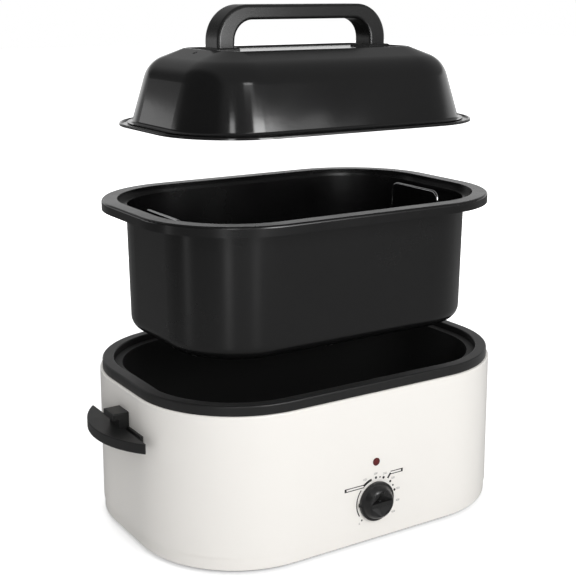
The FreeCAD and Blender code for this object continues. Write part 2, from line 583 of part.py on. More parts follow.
# ---------------------------------------------------------------------------------------------
# Base: painted shell, bottom cover, feet
# ---------------------------------------------------------------------------------------------
def outer_shell():
    body = new_body("shell_body")
    ring(body, "skirt", "skirt_inset", "skirt_inner", "skirt_base", "skirt_height")
    ring(body, "step", "no_inset", "skirt_inner", "groove_base", "shell_wall")
    ring(body, "wall", "no_inset", "shell_wall", "groove_base", "shell_top - groove_base")
    ring(body, "top_lip", "no_inset", "shell_top_lip", "shell_top - shell_wall", "shell_wall")
    ring(body, "bottom_lip", "skirt_inset", "bottom_lip_edge", "skirt_base", "shell_wall")
    round_edges(body, "foot_round", outline_edges(body, read("skirt_base"), read("skirt_inset")),
                "shell_edge_radius")
    round_edges(body, "top_round", outline_edges(body, read("shell_top"), 0), "shell_edge_radius")

    front = new_sketch(body, "front_holes", "front_face + shell_wall", "XZ_Plane")
    round_hole(front, "shaft", "0", "knob_height", "shaft_hole_radius")
    round_hole(front, "lens", "0", "lamp_height", "lens_stem_radius + thread_clearance")
    for name, sign in (("left_screw", "- "), ("right_screw", "")):
        round_hole(front, name, sign + "control_screw_span / 2", "knob_height",
                   "screw_radius + screw_clearance")
    pocket(body, front, "3 * shell_wall")

    back = new_sketch(body, "inlet_hole", "- front_face - shell_wall", "XZ_Plane")
    round_hole(back, "inlet", "0", "inlet_height", "inlet_radius + thread_clearance")
    pocket(body, back, "3 * shell_wall", upward=True)

    ends = new_sketch(body, "handle_holes", "0", "YZ_Plane")
    for name in ("low", "high"):
        round_hole(ends, name, "0", "handle_height + handle_screw_" + name, "screw_radius + screw_clearance")
    pocket(body, ends, "shell_length + 2 * shell_wall", both_ways=True)
    keep("outer_shell", body)


def bottom_cover():
    body = new_body("cover_body")
    slab(body, "plate", "cover_inset", "foot_height", "cover_wall")
    holes = new_sketch(body, "holes", "skirt_base")
    for number, (x_sign, y_sign) in enumerate(((1, 1), (1, -1), (-1, 1), (-1, -1))):
        round_hole(holes, "foot%d" % number, "%d * foot_span_x / 2" % x_sign,
                   "%d * foot_span_y / 2" % y_sign, "foot_stem_radius + thread_clearance")
        round_hole(holes, "post%d" % number, "%d * post_span_x / 2" % x_sign,
                   "%d * post_span_y / 2" % y_sign, "screw_radius + screw_clearance")
    pocket(body, holes, "cover_wall")
    slot = new_sketch(body, "slot", "skirt_base")
    rectangle(slot, "slot", "- cover_slot_length / 2", "cover_slot_length / 2",
              "- cover_slot_pitch * 2 - cover_slot_width / 2",
              "- cover_slot_pitch * 2 + cover_slot_width / 2")
    first = pocket(body, slot, "cover_wall")
    pattern = body.newObject("PartDesign::LinearPattern", "cover_slots")
    pattern.Originals = [first]
    pattern.Direction = ([item for item in body.Origin.OriginFeatures if item.Role == "Y_Axis"][0], [""])
    pattern.Occurrences = 5
    bind(pattern, {"Length": "4 * cover_slot_pitch"})
    body.Tip = pattern
    doc.recompute()
    keep("bottom_cover", body)


def corner_places(span_x, span_y, height):
    """Formulas for the four points of a rectangle round the middle."""
    return [("%d * %s / 2" % (x_sign, span_x), "%d * %s / 2" % (y_sign, span_y), height)
            for x_sign in (-1, 1) for y_sign in (-1, 1)]


def feet():
    pieces = []
    for number, base in enumerate(corner_places("foot_span_x", "foot_span_y", "0")):
        foot = cylinder("foot_pad%d" % number, "foot_radius", "foot_height", base)
        stem = cylinder("foot_stem%d" % number, "foot_stem_radius", "foot_height + foot_stem_length", base)
        pieces.append(fuse("foot%d" % number, [foot, stem]))
    keep("feet", group("feet_group", pieces))


def screws(node, places, turn, shank_length, head_height="screw_head_height"):
    """Pan head screws: each place is under the head, and the shank runs along the turned Z axis."""
    pieces = []
    for number, base in enumerate(places):
        shank = cylinder("%s_shank%d" % (node, number), "screw_radius", shank_length, base, turn)
        back = turn.multiply(DOWN)
        head = cylinder("%s_head%d" % (node, number), "screw_head_radius", head_height, base, back)
        pieces.append(fuse("%s_screw%d" % (node, number), [shank, head]))
    keep(node, group(node + "_group", pieces))


def bottom_screws():
    screws("bottom_screws", corner_places("post_span_x", "post_span_y", "foot_height"), UP,
           "post_screw_length")


# ---------------------------------------------------------------------------------------------
# Base: rim, heating well, heater
# ---------------------------------------------------------------------------------------------
def rim_trim():
    body = new_body("rim_body")
    ring(body, "band", "rim_inset", "rim_band_back", "shell_top", "rim_height")
    ring(body, "top", "rim_inset", "rim_recess", "rim_top - rim_wall", "rim_wall")
    ring(body, "recess_wall", "rim_recess_back", "rim_recess", "shell_top", "rim_height")
    ring(body, "ledge", "rim_recess_back", "rim_opening", "shell_top", "rim_ledge_wall")
    round_edges(body, "outer_round", outline_edges(body, read("rim_top"), read("rim_inset")),
                "rim_outer_radius")
    round_edges(body, "inner_round", outline_edges(body, read("rim_top"), read("rim_recess")),
                "rim_inner_radius")
    keep("rim_trim", body)


def heating_well():
    body = new_body("well_body")
    slab(body, "bowl", "well_outer", "well_base", "ledge_top - well_base")
    slab(body, "flange", "well_flange_edge", "ledge_top", "well_wall")
    hollow = new_sketch(body, "hollow", "ledge_top + well_wall")
    outline(hollow, "inner", "well_inner")
    pocket(body, hollow, "ledge_top - well_base")
    round_edges(body, "outer_round", outline_edges(body, read("well_base")), "well_corner")
    round_edges(body, "inner_round", outline_edges(body, read("well_floor")), "well_corner - well_wall")
    keep("heating_well", body)


def well_posts():
    pieces = []
    for number, base in enumerate(corner_places("post_span_x", "post_span_y", "skirt_base")):
        post = cylinder("post%d" % number, "post_radius", "well_floor_gap", base)
        bore = cylinder("post_bore%d" % number, "screw_radius + thread_clearance",
                        "post_screw_length + 2", base)
        pieces.append(cut("post_cut%d" % number, post, [bore]))
    keep("well_posts", group("posts_group", pieces))


def heater_band():
    body = new_body("band_body")
    ring(body, "winding", "band_outer", "band_inner", "band_base", "band_height")
    keep("heater_band", body)


def insulation_blanket():
    body = new_body("blanket_body")
    ring(body, "wool", "blanket_outer", "blanket_inner", "blanket_base", "blanket_height")
    window = new_sketch(body, "window", "front_face", "XZ_Plane")
    rectangle(window, "window", "- blanket_notch / 2", "blanket_notch / 2", "blanket_base - shell_wall",
              "blanket_base + blanket_notch_height")
    pocket(body, window, "blanket_inner + blanket_gap")
    keep("insulation_blanket", body)


def heater_studs():
    studs = [cylinder("stud%d" % number, "stud_radius", "stud_length",
                      ("%d * stud_span / 2" % sign, "band_outer - front_face", "stud_height"), FRONT)
             for number, sign in enumerate((-1, 1))]
    keep("heater_studs", group("studs_group", studs))


# ---------------------------------------------------------------------------------------------
# Control: thermostat, shaft, knob, indicator
# ---------------------------------------------------------------------------------------------
def thermostat_bracket():
    body = new_body("bracket_body")
    plate = new_sketch(body, "plate", "bracket_back", "XZ_Plane")
    rectangle(plate, "plate", "- bracket_width / 2", "bracket_width / 2",
              "knob_height - bracket_height / 2", "knob_height + bracket_height / 2")
    round_hole(plate, "shaft", "0", "knob_height", "shaft_hole_radius")
    for name, sign in (("left_screw", "- "), ("right_screw", "")):
        round_hole(plate, name, sign + "control_screw_span / 2", "knob_height",
                   "screw_radius + thread_clearance")
    pad(body, plate, "bracket_wall")
    keep("thermostat_bracket", body)


def thermostat_body():
    case = box("thermostat_case", ("thermostat_width", "thermostat_depth", "thermostat_height"),
               ("- thermostat_width / 2", "- bracket_back", "knob_height - thermostat_height / 2"))
    bore = cylinder("thermostat_bore", "shaft_radius + shaft_clearance", "shaft_depth",
                    ("0", "shaft_depth - bracket_back", "knob_height"), FRONT)
    relief = [cylinder("screw_relief%d" % number, "screw_radius + screw_clearance", "control_screw_length",
                       ("%d * control_screw_span / 2" % sign, "- bracket_back", "knob_height"), BACK)
              for number, sign in enumerate((-1, 1))]
    keep("thermostat_body", cut("thermostat_cut", case, [bore] + relief))


def control_screws():
    places = [("%d * control_screw_span / 2" % sign, "- front_face", "knob_height") for sign in (-1, 1)]
    screws("control_screws", places, BACK, "control_screw_length", "control_screw_head")


def thermostat_shaft():
    keep("thermostat_shaft",
         cylinder("shaft", "shaft_radius",
                  "front_face - bracket_back + shaft_depth + knob_gap + shaft_engagement - knob_gap / 4",
                  ("0", "shaft_depth - knob_gap / 4 - bracket_back", "knob_height"), FRONT))


def knob():
    body = new_body("knob_body")
    skirt = new_sketch(body, "skirt", "front_face + knob_gap", "XZ_Plane")
    round_hole(skirt, "skirt", "0", "knob_height", "knob_radius")
    pad(body, skirt, "knob_skirt")
    pointer = new_sketch(body, "pointer", "front_face + knob_gap", "XZ_Plane")
    rectangle(pointer, "pointer", "- knob_radius - knob_pointer_reach", "0",
              "knob_height - knob_pointer_width / 2", "knob_height + knob_pointer_width / 2")
    pad(body, pointer, "knob_skirt")
    crown = new_sketch(body, "crown", "front_face + knob_gap + knob_skirt", "XZ_Plane")
    round_hole(crown, "crown", "0", "knob_height", "knob_crown_radius")
    pad(body, crown, "knob_crown", "- knob_taper")
    for name, near, far in (
        ("lower_scoop", "knob_height - knob_radius", "knob_height - knob_grip_width / 2"),
        ("upper_scoop", "knob_height + knob_grip_width / 2", "knob_height + knob_radius"),
    ):
        scoop = new_sketch(body, name, "front_face + knob_gap + knob_skirt + knob_crown", "XZ_Plane")
        rectangle(scoop, "scoop", "- knob_radius", "knob_radius", near, far)
        pocket(body, scoop, "knob_scoop_depth")
    bore = new_sketch(body, "bore", "front_face + knob_gap", "XZ_Plane")
    round_hole(bore, "bore", "0", "knob_height", "shaft_radius")
    pocket(body, bore, "shaft_engagement", upward=True)
    keep("knob", body)


def indicator():
    lens_axis = ("0", "- front_face", "lamp_height")
    head = cylinder("lens_head", "lens_radius", "lens_proud", lens_axis, FRONT)
    stem = cylinder("lens_stem", "lens_stem_radius", "lens_stem_length", lens_axis, BACK)
    bore = cylinder("lens_bore", "lens_bore_radius", "lens_stem_length",
                    ("0", "lens_proud - front_face", "lamp_height"), BACK)
    keep("indicator_lens", cut("lens_cut", fuse("lens_whole", [head, stem]), [bore]))
    keep("indicator_lamp", cylinder("lamp", "lens_bore_radius - lamp_clearance", "lamp_length",
                                    ("0", "lens_proud + lamp_clearance - front_face", "lamp_height"), BACK))
    nut = cylinder("nut_disc", "push_nut_radius", "push_nut_wall",
                   ("0", "- front_back", "lamp_height"), BACK)
    hole = cylinder("nut_hole", "lens_stem_radius + thread_clearance", "push_nut_wall",
                    ("0", "- front_back", "lamp_height"), BACK)
    keep("lens_push_nut", cut("nut_cut", nut, [hole]))


def sensing_bulb():
    keep("sensing_bulb", cylinder("bulb", "bulb_radius", "bulb_length",
                                  ("- bulb_length / 2", "- bulb_depth", "bulb_height"), RIGHT))
    saddle = box("clip_block", ("clip_width", "2 * bulb_radius + clip_wall + band_gap",
                                "2 * bulb_radius + 4 * clip_wall"),
                 ("- clip_width / 2", "- bulb_depth - bulb_radius - clip_wall",
                  "bulb_height - bulb_radius - 2 * clip_wall"))
    bore = cylinder("clip_bore", "bulb_radius + thread_clearance", "clip_width",
                    ("- clip_width / 2", "- bulb_depth", "bulb_height"), RIGHT)
    keep("bulb_clip", cut("clip_cut", saddle, [bore]))


# ---------------------------------------------------------------------------------------------
# Wiring inside the base
# ---------------------------------------------------------------------------------------------
def rounded_wire(points, bend, closed=False):
    """A path of straight runs joined by tangent arcs of one radius."""
    count = len(points)
    corners = range(count) if closed else range(1, count - 1)
    cut_points = {}
    edges = []
    for corner in corners:
        here = points[corner]
        back = (points[corner - 1] - here).normalize()
        ahead = (points[(corner + 1) % count] - here).normalize()
        half_turn = (math.pi - back.getAngle(ahead)) / 2
        trim = bend * math.tan(half_turn)
        start, end = here + back * trim, here + ahead * trim
        bisector = (back + ahead).normalize()
        middle = here + bisector * (bend / math.cos(half_turn) - bend)
        cut_points[corner] = (start, end)
        edges.append(Part.Arc(start, middle, end).toShape())
    for corner in range(count if closed else count - 1):
        following = (corner + 1) % count
        start = cut_points[corner][1] if corner in cut_points else points[corner]
        end = cut_points[following][0] if following in cut_points else points[following]
        edges.append(Part.makeLine(start, end))
    return Part.Wire(Part.sortEdges(edges)[0])


def tube(path, radius):
    """A round solid swept along a path."""
    start = path.OrderedVertexes[0].Point if not path.isClosed() else path.Edges[0].firstVertex().Point
    first = path.OrderedEdges[0]
    begin = first.FirstParameter
    if first.valueAt(begin).distanceToPoint(start) > 1e-6:
        begin = first.LastParameter
    profile = Part.Wire(Part.makeCircle(radius, first.valueAt(begin), first.tangentAt(begin)))
    return path.makePipeShell([profile], True, False)


def set_shape(name, shape):
    """An object whose shape is worked out from the sheet's values."""
    thing = doc.addObject("Part::Feature", name)
    thing.Shape = shape
    thing.Placement = Placement()
    return thing


def leads():
    level_low = read("skirt_base") + read("lead_radius") + read("band_gap")
    block_face = read("terminal_place") - read("terminal_width") / 2
    thermostat_base = read("knob_height") - read("thermostat_height") / 2
    live_x = -read("lead_spacing")
    live_y = -(read("bracket_back") - read("thermostat_depth") / 2)
    live = [Vector(live_x, block_face, level_low), Vector(live_x, live_y, level_low),
            Vector(live_x, live_y, thermostat_base)]
    live_tube = tube(rounded_wire(live, read("lead_bend")), read("lead_radius"))
    keep("live_lead", set_shape("live_tube", live_tube))
    stud_x = read("stud_span") / 2
    stud_y = -(read("front_face") - read("band_outer") + read("stud_length") / 2)
    stud_low = read("stud_height") - read("stud_radius") - read("band_gap")
    neutral = [Vector(stud_x, block_face, level_low), Vector(stud_x, stud_y, level_low),
               Vector(stud_x, stud_y, stud_low)]
    keep("neutral_lead",
         set_shape("neutral_tube", tube(rounded_wire(neutral, read("lead_bend")), read("lead_radius"))))


def capillary_tube():
    start_x = -read("bulb_length") / 2
    outer_x = start_x - read("capillary_bend") - read("bulb_radius")
    case_x = -read("thermostat_width") / 2
    bulb_y = -read("bulb_depth")
    front_y = bulb_y - 2 * read("capillary_bend") - read("capillary_radius")
    low_z = read("knob_height") + read("capillary_bend")
    route = [Vector(start_x, bulb_y, read("bulb_height")), Vector(outer_x, bulb_y, read("bulb_height")),
             Vector(outer_x, front_y, read("bulb_height")), Vector(outer_x, front_y, low_z),
             Vector(case_x, front_y, low_z)]
    path = rounded_wire(route, read("capillary_bend"))
    keep("capillary_tube", set_shape("capillary", tube(path, read("capillary_radius"))))


def load_link():
    extent = ("stud_span / 2 + stud_radius - thermostat_width / 2", "clip_wall", "3 * stud_radius")
    corner = ("- stud_span / 2 - stud_radius", "band_outer - front_face - stud_length - clip_wall",
              "stud_height - 1.5 * stud_radius")
    keep("load_link", box("link_strip", extent, corner))


def thermal_fuse():
    keep("thermal_fuse", cylinder("fuse", "fuse_radius", "fuse_length",
                                  ("push_nut_radius", "band_outer - front_face - fuse_radius - band_gap",
                                   "fuse_height"), RIGHT))


def terminal_block():
    corner = ("- terminal_length / 2", "terminal_place - terminal_width / 2", "skirt_base")
    keep("terminal_block",
         box("terminal_box", ("terminal_length", "terminal_width", "terminal_height"), corner))
    poles = [cylinder("pole%d" % number, "terminal_pole_radius", "terminal_pole_proud",
                      ("%d * lead_spacing" % step, "terminal_place", "skirt_base + terminal_height"))
             for number, step in enumerate((-1, 0, 1))]
    keep("terminal_screws", group("poles_group", poles))


def cord_inlet():
    axis = ("0", "front_face", "inlet_height")
    flange = cylinder("inlet_flange", "inlet_flange_radius", "inlet_flange_wall", axis, BACK)
    barrel = cylinder("inlet_barrel", "inlet_radius", "inlet_length", axis, FRONT)
    bore = cylinder("inlet_bore_tool", "inlet_bore", "inlet_length + inlet_flange_wall",
                    ("0", "front_face + inlet_flange_wall", "inlet_height"), FRONT)
    keep("cord_inlet", cut("inlet_cut", fuse("inlet_whole", [flange, barrel]), [bore]))


# ---------------------------------------------------------------------------------------------
# Side handles
# ---------------------------------------------------------------------------------------------
def left_handle():
    body = new_body("left_handle_body")
    plate = new_sketch(body, "plate", "handle_height")
    chord_x = -(read("end_face") + read("handle_gap"))
    centre_x = -(read("end_face") + read("handle_gap") + read("handle_reach") - read("handle_arc_radius"))
    half = read("handle_chord") / 2
    radius = read("handle_arc_radius")
    angle = math.asin(half / radius)
    tip_x = centre_x - radius * math.cos(angle)
    circle = Part.Circle(Vector(centre_x, 0, 0), Vector(0, 0, 1), radius)
    arc = plate.addGeometry(Part.ArcOfCircle(circle, math.pi - angle, math.pi + angle), False)
    front = plate.addGeometry(Part.LineSegment(Vector(tip_x, -half, 0), Vector(chord_x, -half, 0)), False)
    chord = plate.addGeometry(Part.LineSegment(Vector(chord_x, -half, 0), Vector(chord_x, half, 0)), False)
    rear = plate.addGeometry(Part.LineSegment(Vector(chord_x, half, 0), Vector(tip_x, half, 0)), False)
    for first, second in (((arc, 2), (front, 1)), ((front, 2), (chord, 1)), ((chord, 2), (rear, 1)),
                          ((rear, 2), (arc, 1))):
        plate.addConstraint(Sketcher.Constraint("Coincident", *first, *second))
    plate.addConstraint(Sketcher.Constraint("Horizontal", front))
    plate.addConstraint(Sketcher.Constraint("Horizontal", rear))
    plate.addConstraint(Sketcher.Constraint("Symmetric", chord, 1, chord, 2, -1))
    plate.addConstraint(Sketcher.Constraint("PointOnObject", arc, 3, -1))
    dimension(plate, "chord_x", Sketcher.Constraint("DistanceX", -1, 1, chord, 1, chord_x),
              "- end_face - handle_gap")
    dimension(plate, "chord_length", Sketcher.Constraint("DistanceY", chord, 1, chord, 2, 2 * half),
              "handle_chord")
    dimension(plate, "arc_radius", Sketcher.Constraint("Radius", arc, radius), "handle_arc_radius")
    dimension(plate, "arc_centre", Sketcher.Constraint("DistanceX", -1, 1, arc, 3, centre_x),
              "handle_arc_radius - end_face - handle_gap - handle_reach")
    pad(body, plate, "handle_wall")
    plate_top = read("handle_height") + read("handle_wall")
    arcs = [name for name in outline_edges(body, plate_top) + outline_edges(body, read("handle_height"))
            if body.Shape.getElement(name).Curve.TypeId == "Part::GeomCircle"]
    round_edges(body, "plate_round", arcs, "handle_edge")

    for name, reach, half_span, base, height in (
        ("flange", "handle_flange_wall", "handle_flange / 2", "handle_height", "handle_wall"),
        ("web", "handle_gap + handle_edge", "handle_block_width / 2", "handle_height", "handle_wall"),
        ("block_root", "handle_block_reach - handle_hook", "handle_block_width / 2",
         "handle_height + handle_wall", "handle_block_height"),
        ("block_hook", "handle_block_reach", "handle_block_width / 2",
         "handle_height + handle_wall + handle_hook_height", "handle_block_height - handle_hook_height"),
    ):
        sketch = new_sketch(body, name, base)
        rectangle(sketch, name, "- end_face - ( %s )" % reach, "- end_face",
                  "- ( %s )" % half_span, half_span)
        pad(body, sketch, height)
    top = read("handle_height") + read("handle_wall") + read("handle_block_height")
    free = [name for name in outline_edges(body, top)
            if abs(body.Shape.getElement(name).BoundBox.XMax + read("end_face")) > 0.01
            or body.Shape.getElement(name).BoundBox.XLength > 1]
    round_edges(body, "block_round", free, "handle_edge")

    holes = new_sketch(body, "holes", "- end_face", "YZ_Plane")
    for name in ("low", "high"):
        round_hole(holes, name, "0", "handle_height + handle_screw_" + name,
                   "screw_radius + thread_clearance")
    pocket(body, holes, "handle_screw_length")
    keep("left_handle", body)
    return body


def right_handle(left):
    mirror = doc.addObject("Part::Mirroring", "right_handle_mirror")
    mirror.Source = left
    mirror.Normal = Vector(1, 0, 0)
    keep("right_handle", mirror)


def handle_screws():
    for node, sign, turn in (("left_handle_screws", -1, LEFT), ("right_handle_screws", 1, RIGHT)):
        places = [("%d * end_back" % sign, "0", "handle_height + handle_screw_" + name)
                  for name in ("low", "high")]
        screws(node, places, turn, "handle_screw_length")


# ---------------------------------------------------------------------------------------------
# Cooking pan and roasting rack
# ---------------------------------------------------------------------------------------------
def cooking_pan():
    body = new_body("pan_body")
    slab(body, "bowl", "pan_bowl_foot", "pan_base", "pan_ledge_base - pan_base", "pan_draft")
    slab(body, "step", "pan_step_outer", "pan_ledge_base", "pan_top - pan_ledge_base")
    slab(body, "flange", "pan_flange_inset", "pan_top - pan_wall", "pan_wall")
    ring(body, "lip", "pan_flange_inset", "pan_lip_back", "pan_top - pan_lip_height", "pan_lip_height")
    mouth = new_sketch(body, "mouth", "pan_top")
    outline(mouth, "mouth", "pan_mouth")
    pocket(body, mouth, "pan_step")
    hollow = new_sketch(body, "hollow", "pan_ledge")
    outline(hollow, "hollow", "pan_hollow")
    pocket(body, hollow, "pan_ledge - pan_floor", "- pan_draft")
    round_edges(body, "floor_outside", outline_edges(body, read("pan_base")), "pan_corner")
    round_edges(body, "floor_inside", outline_edges(body, read("pan_floor")), "pan_corner - pan_wall")
    round_edges(body, "flange_round", outline_edges(body, read("pan_top"), read("pan_flange_inset")),
                "pan_flange_radius")
    round_edges(body, "lip_round",
                outline_edges(body, read("pan_top") - read("pan_wall"), read("pan_lip_back")),
                "pan_flange_radius - pan_wall")
    round_edges(body, "mouth_round", outline_edges(body, read("pan_top"), read("pan_mouth")), "pan_wall / 2")
    keep("cooking_pan", body)


def roasting_rack():
    half_length = read("rack_length") / 2
    half_width = read("rack_width") / 2
    frame_z = read("rack_level")
    wire, rod = read("rack_wire"), read("rack_rod")
    corners = [Vector(-half_length, -half_width, frame_z), Vector(half_length, -half_width, frame_z),
               Vector(half_length, half_width, frame_z), Vector(-half_length, half_width, frame_z)]
    pieces = [tube(rounded_wire(corners, read("rack_corner"), closed=True), wire)]

    # cross rods lie on top of the frame wire, shorter where the frame's corners close in
    rod_z = frame_z + wire + rod / 2
    straight = half_length - read("rack_corner")
    count = int(straight // read("rack_rod_pitch"))
    for step in range(-count, count + 1):
        start = Vector(step * read("rack_rod_pitch"), -half_width, rod_z)
        pieces.append(Part.makeCylinder(rod, read("rack_width"), start, Vector(0, 1, 0)))
    for side in (-1, 1):
        start = Vector(-half_length, side * half_width / 3, rod_z - rod)
        pieces.append(Part.makeCylinder(rod, read("rack_length"), start, Vector(1, 0, 0)))

    # each end handle stands on the frame's end wire and leans out a little
    half_handle = read("rack_handle_width") / 2
    for side in (-1, 1):
        foot_x = side * half_length
        head_x = side * (half_length + read("rack_handle_lean"))
        head_z = frame_z + read("rack_handle_rise")
        points = [Vector(foot_x, -half_handle, frame_z), Vector(head_x, -half_handle, head_z),
                  Vector(head_x, half_handle, head_z), Vector(foot_x, half_handle, frame_z)]
        pieces.append(tube(rounded_wire(points, read("rack_handle_bend")), read("rack_handle_wire")))

    # feet are short loops of wire under the frame's long sides
    foot_low = read("pan_floor") + read("rack_seat_gap") + read("rack_handle_wire")
    half_foot = read("rack_foot_length") / 2
    for side_x in (-1, 1):
        for side_y in (-1, 1):
            middle_x = side_x * read("rack_foot_span") / 2
            y = side_y * half_width
            points = [Vector(middle_x - half_foot - read("rack_foot_spread"), y, frame_z),
                      Vector(middle_x - half_foot, y, foot_low),
                      Vector(middle_x + half_foot, y, foot_low),
                      Vector(middle_x + half_foot + read("rack_foot_spread"), y, frame_z)]
            pieces.append(tube(rounded_wire(points, 2 * read("rack_handle_wire")),
                               read("rack_handle_wire")))
    keep("roasting_rack", set_shape("rack_wires", pieces[0].multiFuse(pieces[1:]).removeSplitter()))


# ---------------------------------------------------------------------------------------------
# Lid and its handle
# ---------------------------------------------------------------------------------------------
def lid_shell():
    body = new_body("lid_body")
    slab(body, "wall", "lid_foot", "lid_base", "lid_rise", "- lid_draft")
    slab(body, "roof", "lid_brow", "lid_wall_top", "lid_roof_rise", "- lid_roof_lean")
    hollow = new_sketch(body, "hollow", "lid_base")
    outline(hollow, "hollow", "lid_foot_inside")
    pocket(body, hollow, "lid_wall_top_inside - lid_base", "- lid_draft", upward=True)
    attic = new_sketch(body, "attic", "lid_wall_top_inside")
    outline(attic, "attic", "lid_brow_inside")
    pocket(body, attic, "lid_ceiling - lid_wall_top_inside", "- lid_roof_lean", upward=True)
    panel = new_sketch(body, "panel", "lid_top")
    outline(panel, "panel", "lid_panel_edge")
    pocket(body, panel, "lid_panel_depth", "- 45")
    round_edges(body, "shoulder_inside", outline_edges(body, read("lid_wall_top_inside")),
                "lid_shoulder - lid_wall")
    round_edges(body, "shoulder", outline_edges(body, read("lid_wall_top")), "lid_shoulder")
    round_edges(body, "crest", outline_edges(body, read("lid_top")), "lid_crest_width * 0.45")
    ring(body, "flange", "lid_outer", "lid_foot_inside", "lid_base", "lid_wall")
    ring(body, "bead", "lid_outer", "lid_bead_back", "lid_base", "lid_bead_height")
    ring(body, "ridge", "lid_ridge_edge", "lid_foot_inside", "lid_base", "lid_ridge_height")
    ridge_top = read("lid_base") + read("lid_ridge_height")
    round_edges(body, "foot_round", outline_edges(body, ridge_top, read("lid_ridge_back")),
                "lid_foot_radius")
    round_edges(body, "bead_round", outline_edges(body, read("lid_base") + read("lid_bead_height")),
                "lid_bead_width * 0.4")
    screw_holes = new_sketch(body, "screw_holes", "lid_deck")
    for name, sign in (("left", "- "), ("right", "")):
        round_hole(screw_holes, name, sign + "grip_screw_place", "0", "screw_radius + screw_clearance")
    pocket(body, screw_holes, "lid_wall")
    vent = new_sketch(body, "vent", "lid_top")
    round_hole(vent, "vent", "- lid_vent_place", "0", "lid_vent_radius")
    pocket(body, vent, "lid_roof_rise")
    keep("lid_shell", body)


def lid_handle():
    body = new_body("grip_body")
    arm = new_sketch(body, "arm", "0", "XZ_Plane")
    outer_foot = arch(arm, "outer", "grip_length / 2", "lid_deck", "grip_height", "grip_outer_radius")
    inner_foot = arch(arm, "inner", "grip_length / 2 - grip_leg", "lid_deck", "grip_height - grip_bar",
                      "grip_inner_radius")
    doc.recompute()
    for line in (outer_foot, inner_foot):
        arm.setConstruction(line, True)
    outside, deck = read("grip_length") / 2, read("lid_deck")
    inside = outside - read("grip_leg")
    for side, end in ((1, 1), (-1, 2)):
        sole = Part.LineSegment(Vector(side * inside, deck, 0), Vector(side * outside, deck, 0))
        foot = arm.addGeometry(sole, False)
        arm.addConstraint(Sketcher.Constraint("Coincident", foot, 1, inner_foot, end))
        arm.addConstraint(Sketcher.Constraint("Coincident", foot, 2, outer_foot, end))
    pad(body, arm, "grip_width", both_ways=True)
    half = read("grip_width") / 2
    long_edges = []
    for number, edge in enumerate(body.Shape.Edges, start=1):
        bounds = edge.BoundBox
        on_side = abs(bounds.YMax - bounds.YMin) < 0.01 and abs(abs(bounds.YMax) - half) < 0.01
        if on_side and bounds.ZMax > read("lid_deck") + 1:
            long_edges.append("Edge%d" % number)
    round_edges(body, "edge_round", long_edges, "grip_edge")
    for name, sign in (("left", -1), ("right", 1)):
        outer = "grip_length / 2 + grip_pad"
        inner = "grip_length / 2 - grip_leg - grip_pad"
        west, east = (inner, outer) if sign > 0 else ("- ( %s )" % outer, "- ( %s )" % inner)
        foot = new_sketch(body, name + "_foot", "lid_deck")
        rectangle(foot, "foot", west, east, "- grip_width / 2 - grip_pad", "grip_width / 2 + grip_pad")
        pad(body, foot, "grip_pad_height")
    foot_top = read("lid_deck") + read("grip_pad_height")
    rims = [name for name in outline_edges(body, foot_top)
            if body.Shape.getElement(name).Length > read("grip_leg") + 1.9 * read("grip_pad")]
    round_edges(body, "foot_round", rims, "grip_pad_height * 0.6")
    holes = new_sketch(body, "holes", "lid_deck")
    for name, sign in (("left", "- "), ("right", "")):
        round_hole(holes, name, sign + "grip_screw_place", "0", "screw_radius + thread_clearance")
    pocket(body, holes, "grip_screw_length", upward=True)
    keep("lid_handle", body)


def lid_fasteners():
    under = "lid_ceiling - washer_wall"
    places = [("%d * grip_screw_place" % sign, "0", under) for sign in (-1, 1)]
    screws("lid_screws", places, UP, "grip_screw_length")
    washers = []
    for number, base in enumerate(places):
        disc = cylinder("washer_disc%d" % number, "washer_radius", "washer_wall", base)
        hole = cylinder("washer_hole%d" % number, "screw_radius + thread_clearance", "washer_wall", base)
        washers.append(cut("washer%d" % number, disc, [hole]))
    keep("lid_washers", group("washers_group", washers))


# ---------------------------------------------------------------------------------------------
# Build, check and export
# ---------------------------------------------------------------------------------------------
def build():
    outer_shell()
    bottom_cover()
    feet()
    bottom_screws()
    rim_trim()
    heating_well()
    well_posts()
    heater_band()
    heater_studs()
    insulation_blanket()
    thermostat_bracket()
    thermostat_body()
    control_screws()
    thermostat_shaft()
    knob()
    indicator()
    sensing_bulb()
    capillary_tube()
    leads()
    load_link()
    thermal_fuse()
    terminal_block()
    cord_inlet()
    right_handle(left_handle())
    handle_screws()
    cooking_pan()
    roasting_rack()
    lid_shell()
    lid_handle()
    lid_fasteners()
    doc.recompute()


def check():
    """Stops when an object failed or a sub-part's shape is empty or not valid."""
    for thing in doc.Objects:
        if "Invalid" in thing.State or "Error" in thing.State:
            raise RuntimeError("%s failed: %s" % (thing.Name, thing.State))
    for node, thing in subparts:
        shape = thing.Shape
        if shape.isNull() or not shape.isValid() or not shape.Solids:
            raise RuntimeError("%s has no valid shape" % node)
        print("%-22s solids %2d volume %10.1f" % (node, len(shape.Solids), shape.Volume))


def export():
    os.makedirs("parts", exist_ok=True)
    for node, thing in subparts:
        thing.Shape.exportStep("parts/%s.step" % node)


build()
check()
export()
print("sub-parts:", len(subparts))
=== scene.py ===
"""Finishes, control knob, pilot lens, dial print and studio for an electric roaster oven."""

